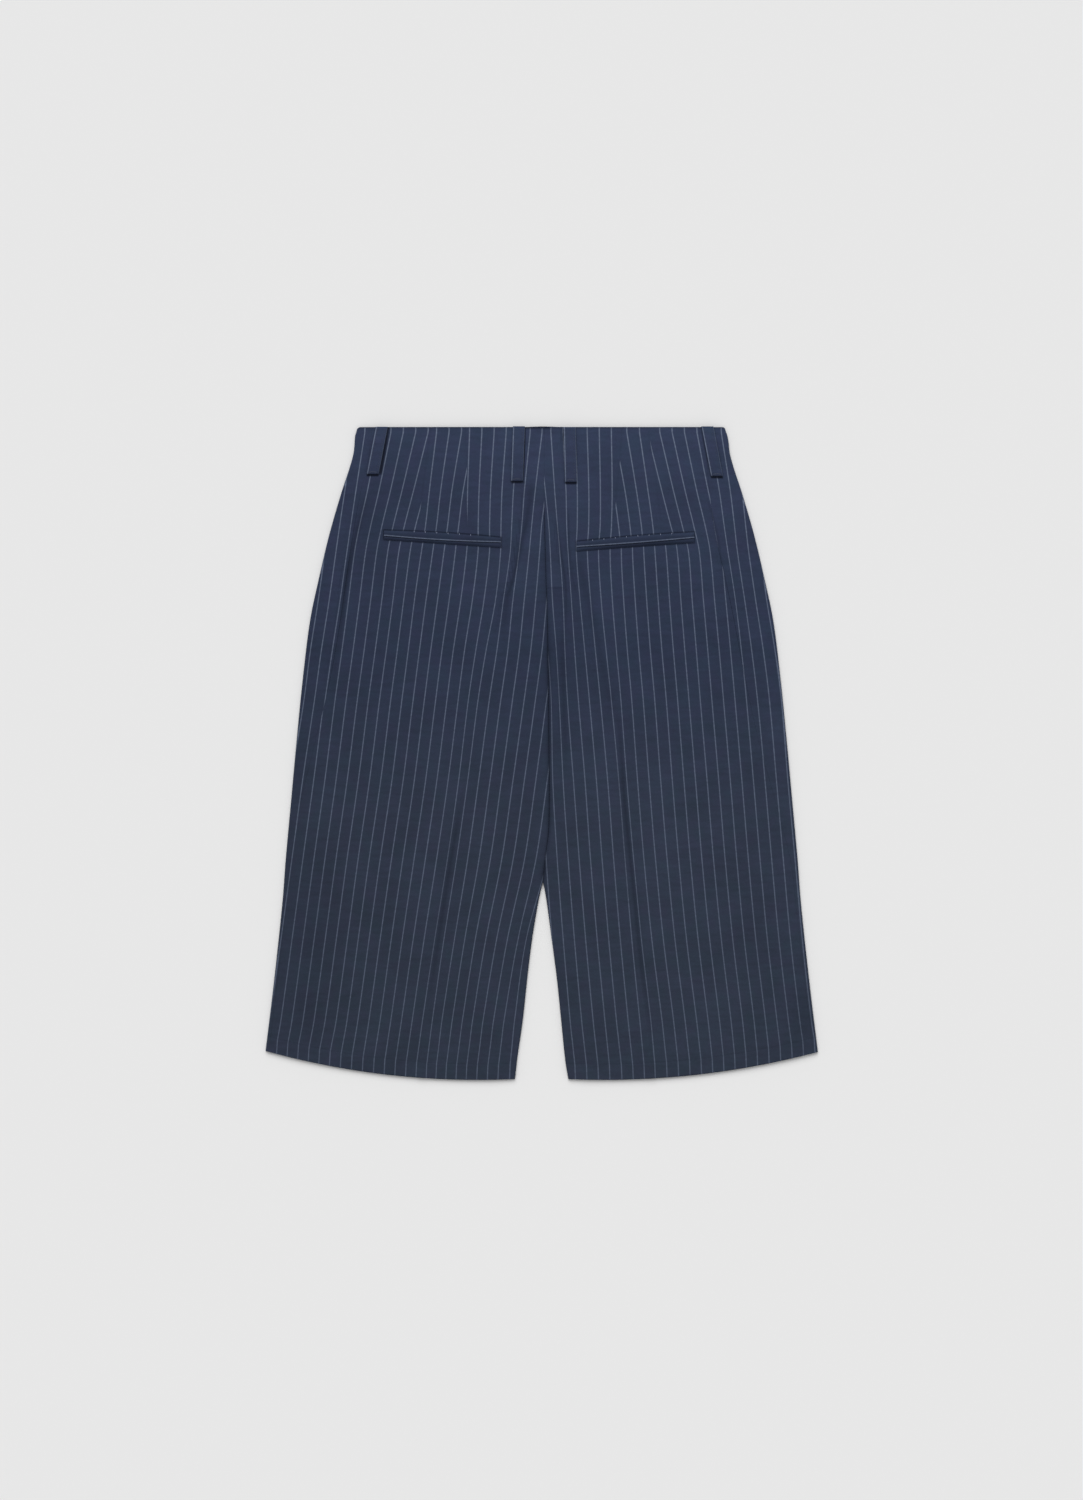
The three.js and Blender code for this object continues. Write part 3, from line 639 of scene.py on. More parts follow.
def rim_faces(rows, columns):
    """Quads between the two surfaces along the four borders, as a closed ring of rim points."""
    number = np.arange(rows * columns).reshape(rows, columns)
    ring = np.r_[number[:-1, 0], number[-1, :-1], number[:0:-1, -1], number[0, :0:-1]]
    after = np.roll(ring, -1)
    lift = rows * columns
    return np.stack([ring, ring + lift, after + lift, after], axis=-1)


def cloth_object(name, outer, inner, grain, shade, corner_grain=None, line=None):
    """Closed mesh from two grids, in mm, with cloth coordinates as UVs, and the painted shade and the
    distance and strength of a painted shade line as attributes. corner_grain gives each quad its own
    four UVs at a dart."""
    rows, columns = outer.shape[:2]
    count = rows * columns
    points = np.concatenate([outer.reshape(-1, 3), inner.reshape(-1, 3)]) * MM
    front = grid_faces(rows, columns, 0)
    back = grid_faces(rows, columns, count)[:, ::-1]
    faces = np.concatenate([front, back, rim_faces(rows, columns)])
    point_grain = np.tile(grain.reshape(-1, 2), (2, 1))
    uvs = point_grain[faces]
    if corner_grain is not None:
        uvs[: len(front)] = corner_grain
        uvs[len(front) : 2 * len(front)] = corner_grain[:, ::-1]
    a, b, c, d = (points[faces[:, k]] for k in range(4))
    volume = np.sum(a * np.cross(b, c)) + np.sum(a * np.cross(c, d))
    if volume < 0:
        faces, uvs = faces[:, ::-1], uvs[:, ::-1]
    mesh = bpy.data.meshes.new(name)
    mesh.vertices.add(len(points))
    mesh.vertices.foreach_set("co", points.ravel())
    mesh.loops.add(faces.size)
    mesh.loops.foreach_set("vertex_index", faces.ravel().astype(np.int32))
    mesh.polygons.add(len(faces))
    mesh.polygons.foreach_set("loop_start", np.arange(0, faces.size, 4, dtype=np.int32))
    mesh.polygons.foreach_set("use_smooth", np.ones(len(faces), bool))
    mesh.uv_layers.new(name="grain").data.foreach_set("uv", uvs.reshape(-1))
    nothing = np.zeros(count)
    distance, strength = line or (nothing, nothing)
    for key, values in (("shade", shade), ("line_distance", distance), ("line_shade", strength)):
        attribute = mesh.attributes.new(key, "FLOAT", "POINT")
        attribute.data.foreach_set("value", np.tile(values.ravel(), 2).astype(np.float32))
    mesh.update()
    mesh.validate()
    mesh.set_sharp_from_angle(angle=np.radians(SHARP_ANGLE))
    piece = bpy.data.objects.new(name, mesh)
    bpy.context.scene.collection.objects.link(piece)
    print(name, "quads:", len(faces))
    return piece


# %% Turned and sewn edges
EDGE_STEPS = np.array([0, 0.1, 0.3, 0.7, 1.5])
# Where the side seam and the centre seam are deep: start and stop
SIDE_DEEP = (60, 240)
CENTRE_DEEP = (65, 520)
SIDE_ROUNDNESS = 0.6


def rounded(distance, share=1.0):
    """Half thickness near a turned edge: a quarter circle that ends in a rim 0.3 mm thick, or a
    smaller share of that roundness where two edges are sewn flat."""
    return HALF_WALL * (1 - share * (1 - round_edge(distance, HALF_WALL, 0.05)))


def seam_share(down, start, stop):
    """How deep a seam sinks: shallow over the waist facing, full below it, shallow again."""
    return mix(0.12, 1, smooth((down - start) / 40) * (1 - smooth((down - stop) / 60)))


def side_half(side, x, down):
    """Half thickness near the side seam."""
    return rounded(np.abs(x - side_seam(side, down)), SIDE_ROUNDNESS * seam_share(down, *SIDE_DEEP))


print("half thickness at the hem's rim, mm:", round(float(rounded(0.0)), 2))

# %% [markdown]
# ## Rows and columns of a panel
#
# Rows run across the panel. They bend with the pocket, so that its ditch is an even line of the mesh
# and not a staircase, and below the crotch they spread towards the curved hem. Columns follow the
# maker's own lines: side seam, pocket ends, darts, crease and inner edge, with close columns beside
# each, where the cloth turns sharply.

# %% Panel grid
ROW_STEP = 2.9
POCKET_REACH = 12.0
HALF_POCKET = 5.5
POCKET_FADE = 45.0
LOOP_END_ROWS = (44.0, 60.0, 1.0)
SHIELD_END_ROWS = (155.5, 163.5, 0.7)
POCKET_ROW_STEP = 0.55
LEG_ROWS = 62
# Above the hem: where the rows of the leg end, and the rows of the band
LEG_ROWS_END = 17.0
BAND_ROWS = [16.2, 15.8, 15.4, 15, 14.6, 14.2, 13.4, 11, 8.5, 6, 3.6]


def evenly(start, stop, step):
    """Even values from start up to, but without, stop, as near to a step apart as fits."""
    return np.linspace(start, stop, max(2, round((stop - start) / step) + 1))[:-1]


def panel_rows(middle):
    """Distances down for the body, shares of the leg, and heights above the hem."""
    loop_start, loop_stop, loop_step = LOOP_END_ROWS
    shield_start, shield_stop, shield_step = SHIELD_END_ROWS
    body = [
        EDGE_STEPS,
        evenly(3.2, loop_start, ROW_STEP),
        evenly(loop_start, loop_stop, loop_step),
        evenly(loop_stop, middle - POCKET_REACH, ROW_STEP),
        middle + np.arange(-POCKET_REACH, POCKET_REACH, POCKET_ROW_STEP),
        evenly(middle + POCKET_REACH, shield_start, ROW_STEP),
        evenly(shield_start, shield_stop, shield_step),
        evenly(shield_stop, CROTCH, ROW_STEP),
        [CROTCH],
    ]
    legs = np.linspace(0, 1, LEG_ROWS)[1:]
    return np.concatenate(body), legs, np.r_[BAND_ROWS, EDGE_STEPS[::-1]]


def panel_downs(side, column_hem_x, column_x_at):
    """Down of every grid point. Near the pocket a row is moved as its top line or its bottom line
    is, and between those two by a mixture of both."""
    middle = POCKETS[side]["middle"]
    body, legs, band = panel_rows(middle)
    influence = 1 - smooth((np.abs(body - middle) - POCKET_REACH) / POCKET_FADE)
    x = column_x_at(body)
    top = pocket_line(side, "top", x) - (middle - HALF_POCKET)
    bottom = pocket_line(side, "bottom", x) - (middle + HALF_POCKET)
    below = np.clip((body - middle + HALF_POCKET) / (2 * HALF_POCKET), 0, 1)
    upper = body[:, None] + influence[:, None] * mix(top, bottom, below[:, None])
    hem = hem_down(column_hem_x)[None, :]
    leg_rows = mix(CROTCH, hem - LEG_ROWS_END, legs[:, None])
    hem_rows = hem - band[:, None]
    return np.concatenate([upper, leg_rows, hem_rows]), int(np.argmin(np.abs(body - middle)))


# %% Columns of a back panel
BACK_STEPS = [12, 14, 18, 14, 14]
NEAR_ANCHOR = np.array([0, 0.5, 1.1, 1.9, 3.0])


def spread_columns(anchors, steps, near):
    """Columns as (anchor, share, offset): beside each anchor at fixed distances, evenly between."""
    edge = near[-1]
    columns = []
    for k in range(anchors - 1):
        columns += [(k, 0.0, d) for d in near]
        shares = np.linspace(0, 1, steps[k] + 1)[1:-1]
        columns += [(k, share, (1 - 2 * share) * edge) for share in shares]
        columns += [(k, 1.0, -d) for d in near[::-1]]
        if k < anchors - 2:
            columns.pop()
    return np.array(columns)


def column_x(anchor_values, columns, direction):
    """x = (1 - share) times this anchor + share times the next one + offset along the direction."""
    stack = np.stack(anchor_values)
    k = columns[:, 0].astype(int)
    picks = np.arange(len(columns))
    this, following = stack[k, :, picks].T, stack[k + 1, :, picks].T
    return mix(this, following, columns[:, 1]) + direction * columns[:, 2]


def back_anchors(side, down):
    """The six lines that the columns follow, from the side seam to the inner edge."""
    return [
        side_seam(side, down) - SIGN[side] * SEWN_GAP,
        curve(POCKET_OUTER_END, side, down),
        curve(OUTER_DART, side, down),
        curve(CREASE, side, down),
        curve(POCKET_INNER_END, side, down),
        inner_edge(side, down, centre_back(down)),
    ]


back_columns = spread_columns(6, BACK_STEPS, NEAR_ANCHOR)
print("columns of a back panel:", len(back_columns))

# %% [markdown]
# ## Back panels
#
# A back panel reaches from the side seam to the centre seam, and below the crotch to the inner leg,
# where its edge turns down to the inseam. Above the pocket its stripes are read separately outside,
# between and inside the two darts, so each dart swallows stripes as the sewn one does.

# %% Back panels
INNER_RADIUS = WALL + LAYER_GAP - SEAM_GAP


def back_panel(side):
    """Mid surface = upper side less half the wall; the last 1.5 mm at the inner leg turn down
    through a quarter circle, with the wall's normal turning with it."""
    s = SIGN[side]

    def x_at(down):
        grid = np.broadcast_to(np.asarray(down, float)[:, None], (len(down), len(back_columns)))
        return column_x(back_anchors(side, grid), back_columns, -s)

    hem_x = x_at([HEM_LOW - HEM_BAND])[0]
    down, slot_row = panel_downs(side, hem_x, x_at)
    x = column_x(back_anchors(side, down), back_columns, -s)
    lift = relief(side, x, down)
    inner = inner_edge(side, down, centre_back(down))
    to_inner = np.abs(x - inner)
    turn = np.clip(1 - to_inner / INNER_RADIUS, 0, 1) * smooth((down - CROTCH) / 6)
    angle = np.arcsin(turn)
    small = INNER_RADIUS - HALF_WALL
    mid_x = x + s * np.sin(angle) * (INNER_RADIUS - small)
    mid_z = 2 * WALL + LAYER_GAP + lift - HALF_WALL - small * (1 - np.cos(angle))
    half = np.minimum(rounded(down), rounded(hem_down(x) - down))
    half = np.minimum(half, side_half(side, x, down))
    centre_half = rounded(to_inner, seam_share(down, *CENTRE_DEEP))
    half = np.where(down > CROTCH, half, np.minimum(half, centre_half))
    mid = np.stack([mid_x, WAIST_Y - down, mid_z], axis=-1)
    normal = np.stack([-s * np.sin(angle), np.zeros_like(angle), np.cos(angle)], axis=-1)

    table = STRIPES[side]
    everywhere = stripe_number(table, BELOW_POCKET[side], x, down)
    parts = {k: stripe_number(table, v, x, down) for k, v in ABOVE_POCKET[side].items()}
    dart_column = np.flatnonzero((back_columns[:, 0] == 2) & (back_columns[:, 2] == 0))[0]
    crease_column = np.flatnonzero((back_columns[:, 0] == 3) & (back_columns[:, 2] == 0))[0]
    faces_across = np.arange(len(back_columns) - 1)
    zone = np.where(faces_across < dart_column, 0, np.where(faces_across < crease_column, 1, 2))
    layers = np.stack([parts["outer"], parts["between"], parts["inner"], everywhere])
    rows = np.arange(down.shape[0] - 1)[:, None]
    pick = np.where(rows < slot_row, zone[None, :], 3)
    row, column = np.indices(pick.shape)
    numbers = np.stack([corners(layer) for layer in layers])[pick, row, column]
    corner_grain = np.stack([numbers * PITCH * MM, -corners(down) * MM], axis=-1).reshape(-1, 4, 2)
    grain = np.stack([everywhere * PITCH * MM, -down * MM], axis=-1)
    step = half[..., None] * normal
    shade, line = broad_shade(side, x, down), painted_shade_line(side, x, down)
    return cloth_object(f"back_{side}_cloth", mid + step, mid - step, grain, shade, corner_grain, line)


backs = {side: back_panel(side) for side in SIGN}

# %% [markdown]
# ## Front panels
#
# A front panel lies flat on the table, turns round the side fold and shows on top as far as the side
# seam. It is one strip of cloth carried along that path: flat, half a circle, flat again. Only its
# upper part has the photograph's stripes; underneath, the grain runs down the middle of the leg, and
# an ironed crease and soft folds press up into the space between the layers.

# %% Front panels
LOOP_WALL = 1.1
FRONT_LOOP_SHARE = 0.52
FRONT_LIFT = LOOP_WALL + SEAM_GAP
FRONT_LIFT_END = 53.0
UNDERSIDE = 0.15
# At the centre the front waist edge stands up past the back one by this much
FRONT_PEEP = 0.8
LEG_MIDDLE_AT_WAIST = 92.0
LEG_MIDDLE_AT_HEM = 150.0
FRONT_TOP_COLUMNS = 20
FOLD_COLUMNS = 7
# Soft folds of the hidden front; share is how far they press up into the space between the layers
FRONT_FOLDS = {
    "left": [
        {"width": 8.0, "down": [240, 290, 335, 385, 435], "x": [-104, -78, -56, -34, -16],
         "share": [0, 0.5, 0.8, 0.6, 0]},
        {"width": 9.0, "down": [175, 225, 270, 330], "x": [-52, -74, -98, -128], "share": [0, 0.5, 0.4, 0]},
        {"width": 10.0, "down": [70, 130, 190, 250], "x": [-150, -168, -182, -190],
         "share": [0, 0.6, 0.5, 0]},
    ],
    "right": [
        {"width": 7.0, "down": [265, 315, 365, 410, 440], "x": [98, 74, 50, 30, 15],
         "share": [0, 0.4, 0.75, 0.6, 0]},
        {"width": 10.0, "down": [190, 250, 300, 350], "x": [60, 86, 112, 134], "share": [0, 0.45, 0.5, 0]},
        {"width": 9.0, "down": [90, 150, 205, 270], "x": [146, 160, 176, 188], "share": [0, 0.5, 0.6, 0]},
    ],
}
IRONED_SHARE = {"left": 0.95, "right": 0.8}
# Of the height of that space, the most that a fold takes up; and the painted shade in its bottom
PRESS_LIMIT = 0.5
PRESS_SHADE = 0.34
print("folds of the hidden front:", {side: len(folds) for side, folds in FRONT_FOLDS.items()})

# %% Shape of a front panel


def front_rise(side, x, down):
    """A front panel rises over the belt loop under it and comes back down within 10 mm."""
    loop_x = FRONT_LOOP_SHARE * fold_line(side, down)
    across = 1 - smooth((np.abs(x - loop_x) - 7) / 10)
    return FRONT_LIFT * across * (1 - smooth((down - FRONT_LIFT_END) / 10))


def front_creases(side, x, down, leg_middle):
    """How far the hidden front presses up, 0 to 1: the ironed crease along the middle of the leg,
    and the soft folds, each a bell across itself."""
    ironed = smooth((down - 75) / 90) * mix(1, 0.4, smooth((down - 540) / 80))
    share = IRONED_SHARE[side] * ironed * bell(x - leg_middle, 2.4)
    for fold in FRONT_FOLDS[side]:
        away = x - curve(fold, "x", down)
        share = share + np.maximum(curve(fold, "share", down), 0) * bell(away, fold["width"])
    return np.clip(share, 0, 1)


def front_panel(side):
    """Path across: inner edge to fold on the table, half circle of mid radius 0.9 mm, then the upper
    side to the side seam. The wall's normal turns from down, through outwards, to up."""
    s = SIGN[side]
    near_crease = 0.5 + 0.004 * np.arange(-4, 5)
    flat_share = np.unique(np.r_[0, 0.0006, 0.002, 0.004, np.linspace(0.01, 1, 90), near_crease])
    turn = np.linspace(0, np.pi, FOLD_COLUMNS + 2)[1:-1]
    top_share = np.r_[np.linspace(0, 0.93, FRONT_TOP_COLUMNS), 0.96, 0.98, 0.992, 1]
    count = len(flat_share) + len(turn) + len(top_share)
    on_flat = slice(0, len(flat_share))
    on_turn = slice(on_flat.stop, on_flat.stop + len(turn))
    on_top = slice(on_turn.stop, count)

    def path(down):
        """x of every column at these heights, and the angle of the cloth there."""
        fold = fold_line(side, down)[:, None]
        inner = inner_edge(side, down, CENTRE_FRONT_X)[:, None]
        seam = side_seam(side, down)[:, None]
        parts = [mix(inner, fold, flat_share), np.repeat(fold, len(turn), 1), mix(fold, seam, top_share)]
        return np.concatenate(parts, axis=1)

    body, legs, band = panel_rows(POCKETS[side]["middle"])
    hem_x = path(np.array([HEM_LOW - HEM_BAND]))[0]
    hem = hem_down(hem_x)[None, :]
    upper = np.repeat(body[:, None], count, 1)
    leg_rows = mix(CROTCH, hem - LEG_ROWS_END, legs[:, None])
    down = np.concatenate([upper, leg_rows, hem - band[:, None]])
    fold = fold_line(side, down)
    inner = inner_edge(side, down, CENTRE_FRONT_X)
    seam = side_seam(side, down)
    angle = np.zeros(count)
    angle[on_turn] = turn
    angle[on_top] = np.pi
    x = np.empty_like(down)
    x[:, on_flat] = mix(inner[:, on_flat], fold[:, on_flat], flat_share)
    small = FOLD_RADIUS - HALF_WALL
    x[:, on_turn] = fold[:, on_turn] + s * small * np.sin(turn)
    x[:, on_top] = mix(fold[:, on_top], seam[:, on_top], top_share)
    lift, shade = relief(side, x, down), broad_shade(side, x, down)
    pressed_in = front_creases(side, x, down, (inner + fold) / 2)
    rise = front_rise(side, x, down) + UNDERSIDE + PRESS_LIMIT * lift * pressed_in
    z = HALF_WALL + rise
    z[:, on_turn] = FOLD_RADIUS - small * np.cos(turn)
    z[:, on_top] = (2 * WALL + LAYER_GAP + lift - HALF_WALL)[:, on_top]
    # The hidden side is drawn darker along the centre front; painted shade darkens the strip where the front
    # waist edge stands up past the back one, and the bottoms of the creases
    peep = (1 - smooth(np.abs(x - CENTRE_FRONT_X) / 28)) * (1 - smooth(down / 3))
    below = 0.6 * bell(x - CENTRE_FRONT_X, 1.5) + 0.8 * peep + PRESS_SHADE * pressed_in
    shade[:, on_flat] = below[:, on_flat]
    shade[:, on_turn] = 0
    half = np.minimum(rounded(down), rounded(hem_down(x) - down))
    half[:, on_flat] = np.minimum(half, rounded(np.abs(x - inner)))[:, on_flat]
    half[:, on_top] = np.minimum(half, side_half(side, x, down))[:, on_top]
    from_corner = np.clip((np.abs(x) - half_width(0) + CORNER[side]) / CORNER[side], 0, 1)
    drop = CORNER[side] * (1 - np.sqrt(1 - 0.96 * from_corner**2)) * (1 - smooth(down / 14))
    y = WAIST_Y - down - drop + np.where(angle == 0, FRONT_PEEP * peep, 0)
    mid = np.stack([x, y, z], axis=-1)
    normal = np.stack([s * np.sin(angle), np.zeros(count), -np.cos(angle)], axis=-1)

    table = WRAP_STRIPES[side]
    wrap_numbers = [n for n in table if isinstance(n, int)]
    number = stripe_number(table, wrap_numbers, x, down)
    at_fold = number[:, on_top][:, :1]
    number[:, on_turn] = at_fold + np.linspace(FOLD_RADIUS * np.pi / PITCH, 0, FOLD_COLUMNS)
    leg_middle = s * mix(LEG_MIDDLE_AT_WAIST, LEG_MIDDLE_AT_HEM, down / HEM_LOW)
    number[:, on_flat] = ((x - leg_middle) / PITCH + 0.5)[:, on_flat]
    grain = np.stack([number * PITCH * MM, -down * MM], axis=-1)
    step = half[..., None] * normal
    distance, strength = painted_shade_line(side, x, down)
    strength[:, : on_top.start] = 0
    line = (distance, strength)
    return cloth_object(f"front_{side}_cloth", mid + step, mid - step, grain, shade, line=line)


fronts = {side: front_panel(side) for side in SIGN}

# %% [markdown]
# ## Belt loops
#
# A loop is a strip of the same cloth with its edges turned in, sewn to the waist edge and tacked at
# its lower end. It stands a little off the trousers in the middle, so it casts a thin shadow, and
# painted shade on the loop and on the cloth beside and below it darkens that shadow.

# %% Belt loops
LOOP_ARCH = 0.8
LOOP_STRIPE = -5.2
STITCH_INSET = 2.2
# Radius of a loop's turned edges, and the square of what is left of its wall at the rim
LOOP_EDGE = (0.55, 0.08)


def loop_ground(side, middle, down):
    """Ground under a strip: the highest point of the panel across the strip's width."""
    places = middle[:, None] + np.linspace(-0.5, 0.5, 5) * LOOP_WIDTH
    return upper_top(side, places, np.maximum(down, 0)[:, None] + 0 * places).max(axis=1)


def loop_profile(across):
    """Thickness across a turned strip: full, thinner at the two stitch lines, round at the edges."""
    edge = LOOP_WIDTH / 2 - np.abs(across)
    return LOOP_WALL * round_edge(edge, *LOOP_EDGE) * (1 - 0.22 * bell(edge - STITCH_INSET, 0.5))


def belt_loop(name, side, top, end, above, down):
    """Strip along a straight line; height = ground + gap + sine-squared arch + thickness."""
    u = np.r_[0, 0.004, 0.012, np.linspace(0.03, 0.97, 34), 0.985, 0.994, 1]
    across = np.linspace(-1, 1, 31)
    across = LOOP_WIDTH / 2 * np.sign(across) * np.abs(across) ** 0.8
    length = mix(-above, down, u)
    middle = mix(top, end, u)
    ground = loop_ground(side, middle, length) + SEAM_GAP + LOOP_ARCH * np.sin(np.pi * u) ** 2
    to_end = np.minimum(length + above, down - length)
    end_round = round_edge(to_end, *LOOP_EDGE)
    tack = 1 + 0.25 * (1 - smooth((down - length - 5) / 2))
    thick = loop_profile(across)[None, :] * (end_round * tack)[:, None]
    mid_z = ground[:, None] + LOOP_WALL / 2 + 0 * across[None, :]
    x = middle[:, None] + across[None, :]
    y = WAIST_Y - length[:, None] + 0 * across[None, :]
    outer = np.stack([x, y, mid_z + thick / 2], axis=-1)
    inner = np.stack([x, y, mid_z - thick / 2], axis=-1)
    number = (across - LOOP_STRIPE)[None, :] + 0 * y
    grain = np.stack([number * MM, y * MM], axis=-1)
    to_edge = LOOP_WIDTH / 2 - np.abs(across)
    # Painted shade along the stitch lines and the turned edges, and at and above the loop's lower end
    shade = 0.06 * bell(to_edge - STITCH_INSET, 0.5) + 0.2 * bell(to_edge, 0.4)
    to_tack = (down - length)[:, None]
    shade = shade[None, :] + 0.6 * bell(to_tack, 0.9) + 0.14 * bell(to_tack, 5.0) + 0 * y
    return cloth_object(f"{name}_cloth", outer, inner, grain, shade)


loops = {name: belt_loop(name, **sizes) for name, sizes in BACK_LOOPS.items()}


# %% Front belt loops
FRONT_LOOP_ENDS = (0.4, 50.0)
OFF_TABLE = 0.05


def front_loop(side):
    """Flat strip under the front panel, from just below the waist edge down 50 mm."""
    start, stop = FRONT_LOOP_ENDS
    down = np.linspace(start, stop, 40)
    across = LOOP_WIDTH / 2 * np.linspace(-1, 1, 25)
    middle = FRONT_LOOP_SHARE * fold_line(side, down)
    to_end = np.minimum(down - start, stop - down)
    end_round = round_edge(to_end, *LOOP_EDGE)
    thick = loop_profile(across)[None, :] * end_round[:, None]
    x = middle[:, None] + across[None, :]
    y = WAIST_Y - down[:, None] + 0 * across[None, :]
    middle_z = LOOP_WALL / 2 + OFF_TABLE
    outer = np.stack([x, y, middle_z - thick / 2], axis=-1)
    inner = np.stack([x, y, middle_z + thick / 2], axis=-1)
    grain = np.stack([(across - LOOP_STRIPE)[None, :] * MM + 0 * y, y * MM], axis=-1)
    return cloth_object(f"belt_loop_front_{side}_cloth", outer, inner, grain, 0 * y)


front_loops = {side: front_loop(side) for side in SIGN}

# %% [markdown]
# ## Pocket lips
#
# A double-lip pocket is a slit whose two edges are bound by narrow folded strips, cut along the grain,
# so the upper lip happens to show one stripe lengthwise beside the slit. The lips lie in a shallow
# ditch: their long outer edges dive into the seam, and their folded edges meet over the slit.

# %% Pocket lips
LIP_WALL = 1.0
LIP_CROWN = 0.35
LIP_STRIPE = 0.9
LIP_EDGE = (0.6, 0.04)
LOWER_LIP_LEVEL = 0.72
# Painted shade of the lower lip, which lies deeper: at its inner end, its outer end, and added in its middle
LIP_SHADE = {"left": (0.16, 0.36, 0.16), "right": (0.2, 0.34, 0.34)}


def pocket_lip(side, which):
    """Strip between two long lines: thickness 1 mm plus a sine crown, with a tight round edge at the
    slit and a softer one at the seam."""
    pocket = POCKETS[side]
    first, second = ("top", "slot") if which == "upper" else ("slot", "bottom")
    u = np.r_[0, 0.002, 0.006, np.linspace(0.015, 0.985, 90), 0.994, 0.998, 1]
    v = 0.5 - 0.5 * np.cos(np.pi * np.linspace(0, 1, 15))
    x = mix(pocket["inner"], pocket["outer"], u)[:, None] + 0 * v[None, :]
    start = pocket_line(side, first, x) + SEAM_GAP / 2
    stop = pocket_line(side, second, x) - SEAM_GAP / 2
    down = mix(start, stop, v[None, :])
    width = stop - start
    to_slit = (stop - down) if which == "upper" else (down - start)
    to_seam = width - to_slit
    to_end = np.minimum(u, 1 - u)[:, None] * abs(pocket["outer"] - pocket["inner"])
    round_slit = round_edge(to_slit, *LIP_EDGE)
    round_seam = mix(0.25, 1, smooth(to_seam / 1.6))
    round_end = mix(0.3, 1, smooth(to_end / 1.5))
    level = 1.0 if which == "upper" else LOWER_LIP_LEVEL
    thick = LIP_WALL * level + LIP_CROWN * np.sin(np.pi * v)[None, :]
    thick = thick * round_slit * round_seam * round_end
    base = upper_top(side, x, down) + SEAM_GAP
    outer = np.stack([x, WAIST_Y - down, base + thick], axis=-1)
    inner = np.stack([x, WAIST_Y - down, base], axis=-1)
    stripe = to_slit - LIP_STRIPE if which == "upper" else to_slit + PITCH / 2 - width / 2
    grain = np.stack([stripe * MM, x * MM], axis=-1)
    # Painted shade: the upper lip darker towards the slit, short of its stripe, and along its seam; the
    # lower lip darker along its length and at the slit
    if which == "upper":
        shade = 0.42 * (1 - to_slit / width) * smooth((to_slit - 1.3) / 0.6) + 0.3 * bell(to_seam, 0.6)
    else:
        inner_end, outer_end, middle = LIP_SHADE[side]
        lengthwise = mix(inner_end, outer_end, u) + middle * np.sin(np.pi * u)
        shade = lengthwise[:, None] + 0.12 * bell(to_slit, 0.9)
    return cloth_object(f"pocket_{side}_{which}_lip_cloth", outer, inner, grain, np.clip(shade, 0, 1))


lips = {(side, which): pocket_lip(side, which) for side in SIGN for which in ("upper", "lower")}

# %% [markdown]
# ## Shield behind the fly
#
# A flat tongue of cloth between the layers, rounded at one lower corner. It never shows, but its end
# lifts the back panel a little. Its outline is a rectangle with a quarter circle, filled as a grid.

# %% Fly shield
SHIELD_TOP = 1.0
SHIELD_CORNER = 16.0
SHIELD_STRAIGHT = 143.0
SHIELD_WALL = 0.9


def fly_shield():
    """Grid of straight rows; in the last 16 mm the right edge follows a quarter circle."""
    rounding = SHIELD_CORNER * np.sin(np.linspace(0, np.pi / 2, 14))[1:]
    down = np.r_[np.linspace(SHIELD_TOP, SHIELD_STRAIGHT, 30), SHIELD_STRAIGHT + rounding]
    cut = np.clip(down - (SHIELD["bottom"] - SHIELD_CORNER), 0, SHIELD_CORNER) / SHIELD_CORNER
    right = SHIELD["right"] - SHIELD_CORNER * (1 - np.sqrt(1 - cut**2))
    share = np.linspace(0, 1, 13)
    x = mix(SHIELD["left"], right[:, None], share[None, :])
    y = WAIST_Y - down[:, None] + 0 * x
    low = WALL + SEAM_GAP + UNDERSIDE / 2
    outer = np.stack([x, y, low + SHIELD_WALL + 0 * x], axis=-1)
    inner = np.stack([x, y, low + 0 * x], axis=-1)
    return cloth_object("fly_shield_cloth", outer, inner, np.stack([x * MM, y * MM], axis=-1), 0 * x)


shield = fly_shield()

# %% [markdown]
# ## Stitching
#
# Thread is what makes cloth look sewn: two rows along each belt loop, a bar tack across its lower end
# and a hooked row round the fly underneath. Along the top of each pocket the stripes of the cloth
# that is folded in there show as small pale picks, evenly spaced.
# One stitch is a short six-sided capsule. All stitches of a thread are placed as one array.

# %% Stitches
THREAD = 0.34


